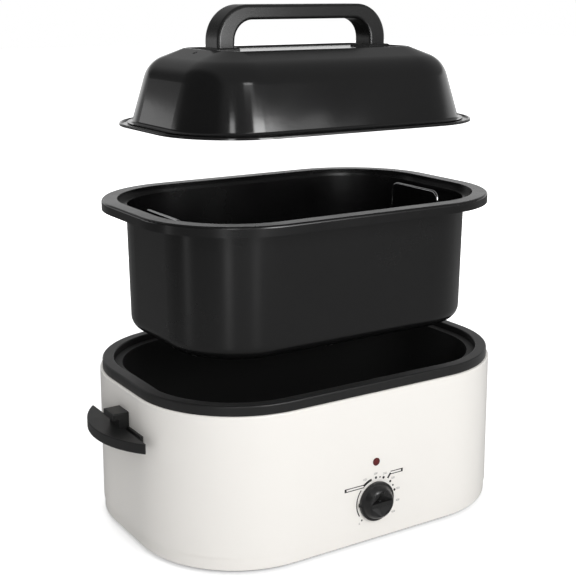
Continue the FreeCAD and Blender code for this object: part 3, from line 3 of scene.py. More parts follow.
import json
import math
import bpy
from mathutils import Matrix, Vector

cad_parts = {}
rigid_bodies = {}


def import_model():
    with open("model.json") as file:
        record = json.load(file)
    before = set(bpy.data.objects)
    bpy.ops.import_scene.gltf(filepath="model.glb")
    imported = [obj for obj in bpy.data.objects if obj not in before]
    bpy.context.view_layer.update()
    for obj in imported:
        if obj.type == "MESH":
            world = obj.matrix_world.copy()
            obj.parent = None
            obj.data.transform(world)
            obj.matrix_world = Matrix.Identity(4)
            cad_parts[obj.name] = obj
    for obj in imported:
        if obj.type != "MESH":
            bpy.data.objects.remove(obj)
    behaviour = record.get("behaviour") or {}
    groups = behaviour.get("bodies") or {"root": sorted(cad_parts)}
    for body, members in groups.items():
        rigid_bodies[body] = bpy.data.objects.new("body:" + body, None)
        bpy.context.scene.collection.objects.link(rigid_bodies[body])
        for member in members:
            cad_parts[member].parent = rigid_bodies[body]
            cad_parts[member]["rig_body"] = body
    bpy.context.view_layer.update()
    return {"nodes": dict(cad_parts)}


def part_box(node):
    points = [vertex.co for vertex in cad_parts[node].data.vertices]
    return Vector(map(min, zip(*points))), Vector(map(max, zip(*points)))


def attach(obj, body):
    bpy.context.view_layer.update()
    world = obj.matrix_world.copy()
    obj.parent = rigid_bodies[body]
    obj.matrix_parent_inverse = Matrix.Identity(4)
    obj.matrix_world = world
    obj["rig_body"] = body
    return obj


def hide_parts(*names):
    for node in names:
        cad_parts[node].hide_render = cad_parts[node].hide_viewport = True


bl_info = {
    "name": "Electric Roaster Oven",
    "version": (1, 0, 0),
    "blender": (4, 5, 0),
    "location": "View3D > Sidebar > Roaster",
    "description": "Finishes and small pieces of a roaster oven, and a plain studio to show it in",
    "category": "Object",
}

import bpy
from mathutils import Matrix, Vector

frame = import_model()

KNOB_LOW, KNOB_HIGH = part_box("knob")
LENS_LOW, LENS_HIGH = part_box("indicator_lens")
SHELL_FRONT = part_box("outer_shell")[0].y
MM = 0.001
FRONT = math.radians(90)    # turns a piece that lies flat so that it faces the control side
SHARP = math.radians(30)    # edges that turn more than this are rounded, or stay sharp in the shading
KNOB_LEVEL = (KNOB_LOW.z + KNOB_HIGH.z) / 2


# ---------------------------------------------------------------------------------------------
# Sizes and colours that a user would change
# ---------------------------------------------------------------------------------------------
def length(name, description, default):
    return bpy.props.FloatProperty(name=name, description=description, default=default,
                                   unit="LENGTH", subtype="DISTANCE", precision=5)


def colour(name, description, default):
    return bpy.props.FloatVectorProperty(name=name, description=description, default=default,
                                         size=3, min=0, max=1, subtype="COLOR")


def share(name, description, default):
    return bpy.props.FloatProperty(name=name, description=description, default=default,
                                   min=0, max=1, subtype="FACTOR")


def bearing(name, description, degrees):
    return bpy.props.FloatProperty(name=name, description=description, default=math.radians(degrees),
                                   subtype="ANGLE", unit="ROTATION")


def amount(name, description, default, unit="NONE"):
    return bpy.props.FloatProperty(name=name, description=description, default=default, min=0, unit=unit)


class RoasterKnobSizes(bpy.types.PropertyGroup):
    """Sizes of the control knob."""
    skirt_radius: length("Skirt radius", "Radius of the flat skirt behind the grip", 25.0 * MM)
    skirt_depth: length("Skirt depth", "How thick the skirt is", 3.6 * MM)
    shoulder_rise: length("Shoulder rise", "Height of the slope between the skirt and the crown", 0.9 * MM)
    crown_radius: length("Crown radius", "Radius of the crown where it leaves the skirt", 22.0 * MM)
    face_radius: length("Face radius", "Radius of the crown's front face", 17.5 * MM)
    scoop_depth: length("Scoop depth", "How deep the finger scoops reach beside the grip", 7.0 * MM)
    grip_half: length("Half grip", "Half the thickness of the grip bar", 2.6 * MM)
    tab_width: length("Tab width", "How wide the pointer tab is along the dial's radius", 3.4 * MM)
    tab_height: length("Tab height", "How high the pointer tab is", 6.4 * MM)


class RoasterDialSizes(bpy.types.PropertyGroup):
    """Sizes of the print round the knob."""
    dot_ring: length("Dot ring", "Radius of the ring of dots", 30.0 * MM)
    number_ring: length("Number ring", "Radius of the ring of numbers", 35.3 * MM)
    number_height: length("Number height", "Height of the printed numbers", 3.8 * MM)


class RoasterColours(bpy.types.PropertyGroup):
    """Colours and gloss of the finishes."""
    paint: colour("Paint", "Warm white paint of the shell", (0.90, 0.875, 0.835))
    enamel: colour("Enamel", "Black enamel of the pan and the lid", (0.0045, 0.0045, 0.0046))
    plastic: colour("Plastic", "Black moulded plastic of the rim, knob and handles", (0.011, 0.011, 0.011))
    lens: colour("Lens", "Red lens of the pilot lamp", (0.20, 0.012, 0.014))
    ink: colour("Ink", "Dark print of the dial", (0.006, 0.006, 0.006))
    pale_ink: colour("Pale ink", "Grey print of the numbers", (0.28, 0.28, 0.275))
    paint_roughness: share("Paint roughness", "Roughness of the white paint", 0.30)
    pan_roughness: share("Pan roughness", "Roughness of the pan's enamel", 0.24)
    lid_roughness: share("Lid roughness", "Roughness of the lid's enamel", 0.14)


class RoasterStudio(bpy.types.PropertyGroup):
    """Camera and lamps."""
    camera_turn: bearing("Camera turn", "Turn of the camera round the oven", -32.3)
    camera_dip: bearing("Camera dip", "How far the camera looks down", 11.12)
    camera_distance: length("Camera distance", "Level distance of the camera from the middle", 1.5)
    camera_aside: length("Camera aside", "How far the camera stands to its right", -12.59 * MM)
    camera_height: length("Camera height", "Height of the camera above the floor", 677.97 * MM)
    lens_length: amount("Lens", "Focal length in millimetres", 72.593, "CAMERA")
    lens_shift: bpy.props.FloatProperty(name="Lens shift", description="Upright shift of the camera's lens",
                                        default=-0.12)
    ambient: amount("Ambient", "Strength of the room's even light", 0.42)
    ceiling: amount("Ceiling", "How bright the ceiling looks in a gloss", 0.30)
    key_power: amount("Key", "Power of the key lamp", 41.0, "POWER")
    top_power: amount("Top", "Power of the overhead lamp", 10.0, "POWER")
    back_power: amount("Back", "Power of the lamp behind the oven", 22.0, "POWER")
    strip_glow: amount("Strips", "Brightness of the tall strip lamps", 1.0)


# ---------------------------------------------------------------------------------------------
# Working in edit mode
# ---------------------------------------------------------------------------------------------
def let_go():
    """Deselects every object."""
    if bpy.context.object and bpy.context.object.mode != "OBJECT":
        bpy.ops.object.mode_set(mode="OBJECT")
    bpy.ops.object.select_all(action="DESELECT")


def take(piece):
    """Makes one object the only one selected."""
    let_go()
    piece.select_set(True)
    bpy.context.view_layer.objects.active = piece


def started(name):
    """The primitive that was just added, renamed, with its place moved into its mesh."""
    piece = bpy.context.object
    piece.name = name
    piece.data.name = name
    bpy.ops.object.transform_apply(location=True, rotation=True, scale=True)
    return piece


def unpick(piece, kind):
    """Sets whether edit mode picks faces or edges, and leaves nothing selected."""
    take(piece)
    bpy.ops.object.mode_set(mode="EDIT")
    bpy.ops.mesh.select_mode(type=kind)
    bpy.ops.mesh.select_all(action="DESELECT")
    bpy.ops.object.mode_set(mode="OBJECT")


def pick_faces(piece, wanted):
    """Goes into edit mode with the faces selected whose normal passes a test."""
    unpick(piece, "FACE")
    for face in piece.data.polygons:
        face.select = bool(wanted(face.normal))
    bpy.ops.object.mode_set(mode="EDIT")


def pick_edges(piece, wanted):
    """Goes into edit mode with the edges selected whose two ends both pass a test."""
    unpick(piece, "EDGE")
    points = piece.data.vertices
    for edge in piece.data.edges:
        edge.select = all(wanted(points[end].co) for end in edge.vertices)
    bpy.ops.object.mode_set(mode="EDIT")


def push(value):
    bpy.ops.mesh.extrude_region_move(TRANSFORM_OT_translate={"value": value})


def narrow(factor, centre):
    """Scales what is selected about a centre, along X and Z alike."""
    bpy.ops.transform.resize(value=(factor, 1, factor), center_override=centre)


def cut_away(piece, cutter):
    """Takes the cutter's shape out of the piece and removes the cutter."""
    take(piece)
    tool = piece.modifiers.new("cut", "BOOLEAN")
    tool.operation = "DIFFERENCE"
    tool.solver = "EXACT"
    tool.object = cutter
    bpy.ops.object.modifier_apply(modifier=tool.name)
    bpy.data.objects.remove(cutter)


def soften(piece, width):
    """Rounds the piece's sharp edges and smooths its shading."""
    take(piece)
    tool = piece.modifiers.new("round", "BEVEL")
    tool.width = width
    tool.segments = 3
    tool.limit_method = "ANGLE"
    tool.angle_limit = SHARP
    bpy.ops.object.modifier_apply(modifier=tool.name)
    smooth(piece)


def smooth(piece):
    """Smooth shading with even normals on flat faces."""
    take(piece)
    bpy.ops.object.shade_smooth_by_angle(angle=SHARP)
    tool = piece.modifiers.new("even", "WEIGHTED_NORMAL")
    tool.keep_sharp = True
    bpy.ops.object.modifier_apply(modifier=tool.name)


def joined(name, pieces):
    """One object from several."""
    let_go()
    for piece in pieces:
        piece.select_set(True)
    bpy.context.view_layer.objects.active = pieces[0]
    bpy.ops.object.join()
    whole = bpy.context.object
    whole.name = name
    whole.data.name = name
    return whole


def clad(piece, material):
    piece.data.materials.clear()
    piece.data.materials.append(material)
    return piece


# ---------------------------------------------------------------------------------------------
# Effects that several finishes use
# ---------------------------------------------------------------------------------------------
def open_group(name, inputs, outputs):
    """A new shader node group whose sockets are plain numbers, with its two end nodes."""
    group = bpy.data.node_groups.new(name, "ShaderNodeTree")
    for label, default in inputs:
        socket = group.interface.new_socket(label, in_out="INPUT", socket_type="NodeSocketFloat")
        socket.default_value = default
    for label in outputs:
        group.interface.new_socket(label, in_out="OUTPUT", socket_type="NodeSocketFloat")
    return group, group.nodes.new("NodeGroupInput"), group.nodes.new("NodeGroupOutput")


def surface_ripple():
    """Soft orange peel of a sprayed or fired coat: a height, and a mask of broad dull patches."""
    found = bpy.data.node_groups.get("surface ripple")
    if found:
        return found
    given_defaults = [("Ripples per Metre", 260.0), ("Patches per Metre", 9.0)]
    group, given, result = open_group("surface ripple", given_defaults, ["Height", "Patches"])
    link = group.links.new
    place = group.nodes.new("ShaderNodeTexCoord")
    ripple = group.nodes.new("ShaderNodeTexNoise")
    ripple.inputs["Detail"].default_value = 1.5
    ripple.inputs["Roughness"].default_value = 0.4
    patches = group.nodes.new("ShaderNodeTexNoise")
    patches.inputs["Detail"].default_value = 4.0
    patches.inputs["Roughness"].default_value = 0.6
    link(place.outputs["Object"], ripple.inputs["Vector"])
    link(place.outputs["Object"], patches.inputs["Vector"])
    link(given.outputs["Ripples per Metre"], ripple.inputs["Scale"])
    link(given.outputs["Patches per Metre"], patches.inputs["Scale"])
    link(ripple.outputs["Fac"], result.inputs["Height"])
    link(patches.outputs["Fac"], result.inputs["Patches"])
    return group


def moulded_grain():
    """Fine spark-eroded grain of a plastic mould: a height, and a mask of rubbed spots."""
    found = bpy.data.node_groups.get("moulded grain")
    if found:
        return found
    given_defaults = [("Grains per Metre", 2600.0), ("Rubs per Metre", 24.0)]
    group, given, result = open_group("moulded grain", given_defaults, ["Height", "Rubs"])
    link = group.links.new
    place = group.nodes.new("ShaderNodeTexCoord")
    grain = group.nodes.new("ShaderNodeTexVoronoi")
    grain.feature = "SMOOTH_F1"
    grain.inputs["Smoothness"].default_value = 0.6
    rubs = group.nodes.new("ShaderNodeTexNoise")
    rubs.inputs["Detail"].default_value = 3.0
    link(place.outputs["Object"], grain.inputs["Vector"])
    link(place.outputs["Object"], rubs.inputs["Vector"])
    link(given.outputs["Grains per Metre"], grain.inputs["Scale"])
    link(given.outputs["Rubs per Metre"], rubs.inputs["Scale"])
    link(grain.outputs["Distance"], result.inputs["Height"])
    link(rubs.outputs["Fac"], result.inputs["Rubs"])
    return group


def drawn_lines():
    """Long faint lines of rolled or drawn metal along X: a height and a mask."""
    found = bpy.data.node_groups.get("drawn lines")
    if found:
        return found
    group, given, result = open_group("drawn lines", [("Lines per Metre", 900.0)], ["Height", "Lines"])
    link = group.links.new
    place = group.nodes.new("ShaderNodeTexCoord")
    stretch = group.nodes.new("ShaderNodeMapping")
    stretch.inputs["Scale"].default_value = (0.03, 1.0, 1.0)
    lines = group.nodes.new("ShaderNodeTexNoise")
    lines.inputs["Detail"].default_value = 2.0
    link(place.outputs["Object"], stretch.inputs["Vector"])
    link(stretch.outputs["Vector"], lines.inputs["Vector"])
    link(given.outputs["Lines per Metre"], lines.inputs["Scale"])
    link(lines.outputs["Fac"], result.inputs["Height"])
    link(lines.outputs["Fac"], result.inputs["Lines"])
    return group


# ---------------------------------------------------------------------------------------------
# Finishes
# ---------------------------------------------------------------------------------------------
class Finish:
    """A material with one Principled shader, and short ways to feed it."""

    def __init__(self, name):
        self.material = bpy.data.materials.get(name)
        if self.material:
            self.made = True
            return
        self.made = False
        self.material = bpy.data.materials.new(name)
        self.material.use_nodes = True
        self.nodes = self.material.node_tree.nodes
        self.link = self.material.node_tree.links.new
        self.shader = self.nodes["Principled BSDF"]

    def set(self, **values):
        """Sets the shader's own sockets, with _ for a space in their names."""
        for name, value in values.items():
            self.shader.inputs[name.replace("_", " ")].default_value = value

    def effect(self, group, **values):
        """Places an effect in the material with its own values."""
        node = self.nodes.new("ShaderNodeGroup")
        node.node_tree = group
        for name, value in values.items():
            node.inputs[name.replace("_", " ")].default_value = value
        return node

    def spread(self, source, low, high, socket):
        """Feeds a socket with a mask that runs between two values."""
        node = self.nodes.new("ShaderNodeMapRange")
        node.inputs["From Min"].default_value = 0.3
        node.inputs["From Max"].default_value = 0.7
        node.inputs["To Min"].default_value = low
        node.inputs["To Max"].default_value = high
        self.link(source, node.inputs["Value"])
        self.link(node.outputs["Result"], self.shader.inputs[socket])

    def tint(self, source, first, second):
        """Feeds the base colour with a mask between two colours."""
        node = self.nodes.new("ShaderNodeMix")
        node.data_type = "RGBA"
        node.inputs["A"].default_value = (*first, 1)
        node.inputs["B"].default_value = (*second, 1)
        self.link(source, node.inputs["Factor"])
        self.link(node.outputs["Result"], self.shader.inputs["Base Color"])

    def relief(self, source, strength, distance):
        """Bends the normal with a height that stands for a real distance."""
        node = self.nodes.new("ShaderNodeBump")
        node.inputs["Strength"].default_value = strength
        node.inputs["Distance"].default_value = distance
        self.link(source, node.inputs["Height"])
        self.link(node.outputs["Normal"], self.shader.inputs["Normal"])


def times(base, factor):
    """A colour made lighter or darker."""
    return tuple(min(1.0, part * factor) for part in base)


def coat_finish(name, base, roughness, spread, coat, ripples, strength, specular=0.5):
    """Paint or enamel: a smooth coat with a soft ripple and slightly duller patches."""
    finish = Finish(name)
    if finish.made:
        return finish.material
    finish.set(Coat_Weight=coat, Coat_Roughness=0.08, Specular_IOR_Level=specular)
    effect = finish.effect(surface_ripple(), Ripples_per_Metre=ripples)
    finish.tint(effect.outputs["Patches"], times(base, 0.996), times(base, 1.004))
    finish.spread(effect.outputs["Patches"], roughness - spread, roughness + spread, "Roughness")
    finish.relief(effect.outputs["Height"], strength, 0.12 * MM)
    return finish.material


def plastic_finish(name, base, roughness, spread, grains, strength, specular=0.5):
    """Moulded plastic: a fine grain, and spots that hands have rubbed smoother."""
    finish = Finish(name)
    if finish.made:
        return finish.material
    finish.set(Specular_IOR_Level=specular)
    effect = finish.effect(moulded_grain(), Grains_per_Metre=grains)
    finish.tint(effect.outputs["Rubs"], times(base, 0.93), times(base, 1.07))
    finish.spread(effect.outputs["Rubs"], roughness + spread, roughness - spread, "Roughness")
    finish.relief(effect.outputs["Height"], strength, 0.1 * MM)
    return finish.material


def metal_finish(name, base, roughness, spread, lines, strength):
    """Bare or plated metal with faint lines from the rolls or the die."""
    finish = Finish(name)
    if finish.made:
        return finish.material
    finish.set(Metallic=1.0)
    effect = finish.effect(drawn_lines(), Lines_per_Metre=lines)
    finish.tint(effect.outputs["Lines"], times(base, 0.92), times(base, 1.05))
    finish.spread(effect.outputs["Lines"], roughness - spread, roughness + spread, "Roughness")
    finish.relief(effect.outputs["Height"], strength, 0.05 * MM)
    return finish.material


def wool_finish(name, base):
    """Loose mineral wool: soft tufts in two shades."""
    finish = Finish(name)
    if finish.made:
        return finish.material
    finish.set(Sheen_Weight=0.3, Roughness=0.95)
    effect = finish.effect(surface_ripple(), Ripples_per_Metre=420.0, Patches_per_Metre=160.0)
    finish.tint(effect.outputs["Patches"], times(base, 0.6), times(base, 1.15))
    finish.relief(effect.outputs["Height"], 1.0, 2 * MM)
    return finish.material


def clear_finish(name, base, roughness):
    """Clear coloured plastic or glass."""
    finish = Finish(name)
    if finish.made:
        return finish.material
    finish.set(Transmission_Weight=0.55, IOR=1.49, Coat_Weight=0.4)
    effect = finish.effect(surface_ripple(), Ripples_per_Metre=500.0)
    finish.tint(effect.outputs["Patches"], times(base, 0.9), times(base, 1.1))
    finish.spread(effect.outputs["Patches"], roughness, roughness + 0.05, "Roughness")
    return finish.material


def ink_finish(name, base):
    """Screen print: thin, slightly uneven ink."""
    finish = Finish(name)
    if finish.made:
        return finish.material
    effect = finish.effect(surface_ripple(), Ripples_per_Metre=900.0, Patches_per_Metre=300.0)
    finish.tint(effect.outputs["Patches"], times(base, 0.85), times(base, 1.15))
    finish.spread(effect.outputs["Patches"], 0.38, 0.5, "Roughness")
    return finish.material


def finishes(colours):
    """Every slot's material by its name in the record."""
    plastic = tuple(colours.plastic)
    enamel = tuple(colours.enamel)

    # coats: colour, roughness, its spread, clear coat, ripples per metre, relief, specular level
    # plastics: colour, roughness, its spread, grains per metre, relief, specular level
    # metals: colour, roughness, its spread, lines per metre, relief
    return {
        "shell_paint": coat_finish("warm white paint", tuple(colours.paint), colours.paint_roughness, 0.008,
                                   0.25, 240.0, 0.10),
        "pan_enamel": coat_finish("satin black enamel", enamel, colours.pan_roughness, 0.05, 0.0, 210.0,
                                  0.22, 0.42),
        "lid_enamel": coat_finish("gloss black enamel", enamel, colours.lid_roughness, 0.03, 0.0, 150.0,
                                  0.20, 0.5),
        "rim_plastic": plastic_finish("black rim plastic", plastic, 0.36, 0.04, 1500.0, 0.10, 0.4),
        "handle_plastic": plastic_finish("black handle plastic", plastic, 0.42, 0.05, 1500.0, 0.16, 0.4),
        "lid_handle_plastic": plastic_finish("black grip plastic", plastic, 0.27, 0.04, 1200.0, 0.06, 0.4),
        "knob_plastic": plastic_finish("black knob plastic", plastic, 0.30, 0.05, 1500.0, 0.08, 0.45),
        "foot_rubber": plastic_finish("foot rubber", (0.02, 0.02, 0.02), 0.75, 0.08, 1400.0, 0.4, 0.3),
        "inlet_rubber": plastic_finish("bushing rubber", (0.02, 0.02, 0.02), 0.62, 0.06, 1400.0, 0.3, 0.3),
        "lead_black": plastic_finish("black sleeve", (0.02, 0.02, 0.02), 0.5, 0.06, 1400.0, 0.2, 0.4),
        "lead_white": plastic_finish("white sleeve", (0.7, 0.7, 0.66), 0.5, 0.06, 1400.0, 0.2, 0.4),
        "thermostat_case": plastic_finish("brown phenolic", (0.035, 0.02, 0.014), 0.4, 0.06, 900.0, 0.2, 0.4),
        "heater_mica": plastic_finish("mica tape", (0.26, 0.19, 0.10), 0.42, 0.12, 300.0, 0.5, 0.5),
        "well_steel": coat_finish("dark well coat", (0.02, 0.02, 0.02), 0.45, 0.06, 0.0, 300.0, 0.3, 0.25),
        "zinc_steel": metal_finish("zinc plate", (0.55, 0.56, 0.57), 0.38, 0.07, 700.0, 0.3),
        "screw_steel": metal_finish("screw steel", (0.58, 0.58, 0.57), 0.30, 0.06, 2400.0, 0.2),
        "fuse_case": metal_finish("fuse case", (0.66, 0.66, 0.67), 0.33, 0.05, 1500.0, 0.2),
        "copper": metal_finish("copper tube", (0.62, 0.27, 0.14), 0.26, 0.06, 1300.0, 0.2),
        "brass_strip": metal_finish("brass strip", (0.64, 0.44, 0.16), 0.28, 0.06, 1300.0, 0.2),
        "rack_chrome": metal_finish("chromed wire", (0.62, 0.62, 0.63), 0.14, 0.04, 1300.0, 0.12),
        "wool": wool_finish("mineral wool", (0.52, 0.44, 0.22)),
        "lens_red": clear_finish("red lens", tuple(colours.lens), 0.08),
        "lamp_glass": clear_finish("lamp glass", (0.75, 0.4, 0.3), 0.04),
        "ink": ink_finish("dial ink", tuple(colours.ink)),
        "pale_ink": ink_finish("number ink", tuple(colours.pale_ink)),
    }


def dress(body_names):
    """Puts each node of these bodies in the finish of its slot."""
    all_finishes = finishes(bpy.context.scene.roaster_colours)
    dressed = 0
    for name, node in frame["nodes"].items():
        if node["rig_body"] not in body_names:
            continue
        for place in node.material_slots:
            place.material = all_finishes[place.material.name.split(".")[0]]
            dressed += 1
    if not dressed:
        raise RuntimeError("no piece takes a finish")


class ROASTER_OT_finish_base(bpy.types.Operator):
    """Paint the shell and finish the rim, the well, the handles and what is inside the base"""
    bl_idname = "roaster.finish_base"
    bl_label = "Finish Base"

    def execute(self, context):
        dress(("base", "control"))
        return {"FINISHED"}


class ROASTER_OT_finish_cookware(bpy.types.Operator):
    """Enamel the pan and the lid, and plate the rack"""
    bl_idname = "roaster.finish_cookware"
    bl_label = "Finish Pan, Rack and Lid"

    def execute(self, context):
        dress(("pan", "rack", "lid"))
        return {"FINISHED"}


# ---------------------------------------------------------------------------------------------
# Control knob
# ---------------------------------------------------------------------------------------------
# The crown rises and narrows in two steps. Shares of the first in the rise and, as a power, in the narrowing,
# and how much more the second narrows to round the face's edge
FIRST_RISE = 0.72
FIRST_NARROWING = 0.6
FACE_EDGE = 0.93

# A finger scoop: its reach against the face's radius, and its half width and height against that reach
SCOOP_REACH = 1.12
SCOOP_WIDTH = 1.02
SCOOP_HEIGHT = 0.86
SCOOP_CLEARANCE = 1.5 * MM    # how far the cutter's edges stand out of the face
SCOOP_FRONT = 2 * MM          # how much further its front corner stands out

TAB_OUT = 0.4 * MM            # from the skirt's edge out to the middle of the pointer tab
TAB_TIP = (1, 0.8, 0.6)       # how the tab's outer end is scaled


class ROASTER_OT_knob(bpy.types.Operator):
    """Make the control knob with its skirt, finger scoops, grip and pointer tab"""
    bl_idname = "roaster.knob"
    bl_label = "Control Knob"

    def execute(self, context):
        sizes = context.scene.roaster_knob
        knob = turned_knob(sizes)
        for side in (1, -1):
            cut_away(knob, scoop(sizes, side))
        tab = pointer_tab(sizes)
        soften(knob, 0.7 * MM)
        knob = joined("control_knob", [knob, tab])
        clad(knob, finishes(context.scene.roaster_colours)["knob_plastic"])
        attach(knob, "control")
        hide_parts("knob")
        return {"FINISHED"}


def turned_knob(sizes):
    """The skirt and the crown, before the scoops are cut."""
    back, face = KNOB_HIGH.y, KNOB_LOW.y
    let_go()
    bpy.ops.mesh.primitive_cylinder_add(vertices=96, radius=sizes.skirt_radius, depth=sizes.skirt_depth,
                                        location=(0, back - sizes.skirt_depth / 2, KNOB_LEVEL),
                                        rotation=(FRONT, 0, 0))
    knob = started("control_knob")
    pick_faces(knob, lambda normal: normal.y < -0.9)
    bpy.ops.mesh.inset(thickness=sizes.skirt_radius - sizes.crown_radius, depth=sizes.shoulder_rise)
    rise = back - face - sizes.skirt_depth - sizes.shoulder_rise
    taper = sizes.face_radius / sizes.crown_radius
    push((0, -rise * FIRST_RISE, 0))
    narrow(taper ** FIRST_NARROWING, (0, face, KNOB_LEVEL))
    push((0, -rise * (1 - FIRST_RISE), 0))
    narrow(taper ** (1 - FIRST_NARROWING) * FACE_EDGE, (0, face, KNOB_LEVEL))
    bpy.ops.object.mode_set(mode="OBJECT")
    return knob


def scoop(sizes, side):
    """A cutter that is deepest at the middle of the grip and runs out at the crown's edge."""
    let_go()
    bpy.ops.mesh.primitive_cone_add(vertices=4, radius1=1, radius2=0, depth=1, location=(0, 0, 0))
    cutter = started("scoop_cutter")
    reach = sizes.face_radius * SCOOP_REACH
    wide = reach * SCOOP_WIDTH
    foot = KNOB_LEVEL + side * sizes.grip_half
    top = KNOB_LEVEL + side * (sizes.grip_half + reach * SCOOP_HEIGHT)
    out = KNOB_LOW.y - SCOOP_CLEARANCE
    deep = KNOB_LOW.y + sizes.scoop_depth
    ring = (Vector((wide, out, foot)), Vector((0, deep, foot)), Vector((-wide, out, foot)),
            Vector((0, out - SCOOP_FRONT, foot)))
    place_corners(cutter, ring, Vector((0, out, top)))
    return cutter


def place_corners(piece, ring_spots, peak_spot):
    """Moves the corners of a four-sided cone to given spots: its base ring in order, and its peak."""
    take(piece)
    points = piece.data.vertices
    ring = sorted((point for point in points if point.co.z < 0),
                  key=lambda point: math.atan2(point.co.y, point.co.x))
    peak = next(point for point in points if point.co.z > 0)
    for corner, spot in zip((*ring, peak), (*ring_spots, peak_spot)):
        corner.co = spot
    bpy.ops.object.mode_set(mode="EDIT")
    bpy.ops.mesh.select_all(action="SELECT")
    bpy.ops.mesh.normals_make_consistent(inside=False)
    bpy.ops.object.mode_set(mode="OBJECT")


def pointer_tab(sizes):
    """The small tab on the skirt's edge that points at the print."""
    let_go()
    size = (sizes.tab_width, sizes.skirt_depth, sizes.tab_height)
    place = (-sizes.skirt_radius - TAB_OUT, KNOB_HIGH.y - sizes.skirt_depth / 2, KNOB_LEVEL)
    bpy.ops.mesh.primitive_cube_add(size=1, location=place, scale=size)
    tab = started("pointer_tab")
    pick_faces(tab, lambda normal: normal.x < -0.9)
    bpy.ops.transform.resize(value=TAB_TIP, center_override=place)
    bpy.ops.object.mode_set(mode="OBJECT")
    soften(tab, 0.5 * MM)
    return tab


# ---------------------------------------------------------------------------------------------
# Pilot lens
# ---------------------------------------------------------------------------------------------
LENS_COLLAR = 0.8 * MM    # thickness of the collar against the shell
LENS_RIM = 0.5 * MM       # width of the collar outside the dome
LENS_STEM = 3.1 * MM      # radius of the stem through the shell
DOME_STEPS = 6
DOME_TIP = 0.04           # share of the dome's radius that its flat tip keeps


class ROASTER_OT_lens(bpy.types.Operator):
    """Make the pilot lamp's domed red lens with its collar"""
    bl_idname = "roaster.lens"
    bl_label = "Pilot Lens"

    def execute(self, context):
        level = (LENS_LOW.z + LENS_HIGH.z) / 2
        front, radius = LENS_LOW.y, (LENS_HIGH.x - LENS_LOW.x) / 2
        wall = SHELL_FRONT
        if radius <= LENS_STEM:
            raise RuntimeError("the lens is too small for its stem")
        let_go()
        bpy.ops.mesh.primitive_cylinder_add(vertices=48, radius=radius, depth=LENS_COLLAR,
                                            location=(0, wall - LENS_COLLAR / 2, level),
                                            rotation=(FRONT, 0, 0))
        lens = started("pilot_lens")
        pick_faces(lens, lambda normal: normal.y < -0.9)
        bpy.ops.mesh.inset(thickness=LENS_RIM, depth=0)
        height = wall - LENS_COLLAR - front
        for step in range(DOME_STEPS):
            before, after = (math.radians(90) * part / DOME_STEPS for part in (step, step + 1))
            push((0, -height * (math.sin(after) - math.sin(before)), 0))
            narrow(max(math.cos(after), DOME_TIP) / max(math.cos(before), DOME_TIP), (0, front, level))
        bpy.ops.object.mode_set(mode="OBJECT")
        pick_faces(lens, lambda normal: normal.y > 0.9)
        bpy.ops.mesh.inset(thickness=radius - LENS_STEM, depth=0)
        push((0, LENS_HIGH.y - wall, 0))
        bpy.ops.object.mode_set(mode="OBJECT")
        smooth(lens)
        clad(lens, finishes(context.scene.roaster_colours)["lens_red"])
        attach(lens, "base")
        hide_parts("indicator_lens")
        return {"FINISHED"}


# ---------------------------------------------------------------------------------------------
# Dial print
# ---------------------------------------------------------------------------------------------
PRINT = 0.10 * MM

# Dots round the knob: angle from twelve o'clock, and radius in millimetres
DOTS = ((0, 1.7), (12, 1.1), (23, 1.7), (48, 1.6), (62, 1.2), (76, 1.7), (-136, 1.2))

# Printed arcs: first and last angle, millimetres inside the ring of dots, and width in millimetres
ARCS = ((-121, -52, 1.2, 1.5), (-36, -29, 0.6, 3.2), (-25, -16, 0.6, 3.2))
ARC_STEP = 3
LEAST_ARC_STEPS = 6

# Printed frames: angle, millimetres outside the ring of dots, the side that each leads to, and its length
CALLOUTS = ((-38, -1.2, -1, 28), (36, 8.7, 1, 17.5))
CALLOUT_HALF = 1.7 * MM
CALLOUT_LINE = 1.1 * MM
CALLOUT_END = 2.8 * MM

# The line to the right frame: angle, millimetres outside the ring of dots where it runs, and width
LEADER = (36, 1.0, 8.5, 2.6)

NUMBERS = (("150", -29), ("200", -1), ("250", 23), ("300", 48), ("350", 77), ("400", 103), ("450", 128),
           ("0", -136))


def on_dial(angle, radius):
    """A spot on the shell's front at an angle from twelve o'clock, clockwise, and a radius."""
    turn = math.radians(angle)
    return Vector((math.sin(turn) * radius, SHELL_FRONT, KNOB_LEVEL + math.cos(turn) * radius))


def printed(piece):
    """Gives flat faces on the shell's front the thickness of print."""
    take(piece)
    bpy.ops.object.mode_set(mode="EDIT")
    bpy.ops.mesh.select_all(action="SELECT")
    push((0, -PRINT, 0))
    bpy.ops.mesh.select_all(action="SELECT")
    bpy.ops.mesh.normals_make_consistent(inside=False)
    bpy.ops.object.mode_set(mode="OBJECT")
    return piece


def dot(angle, radius, size):
    let_go()
    bpy.ops.mesh.primitive_circle_add(vertices=20, radius=size, fill_type="NGON",
                                      location=on_dial(angle, radius), rotation=(FRONT, 0, 0))
    return printed(started("dot"))


def bar(first, last, width):
    """A straight printed line between two spots."""
    along = last - first
    slope = math.atan2(along.z, along.x)
    let_go()
    bpy.ops.mesh.primitive_plane_add(size=1, location=(first + last) / 2, rotation=(FRONT, -slope, 0))
    piece = bpy.context.object
    piece.scale = (along.length, width, 1)
    return printed(started("line"))


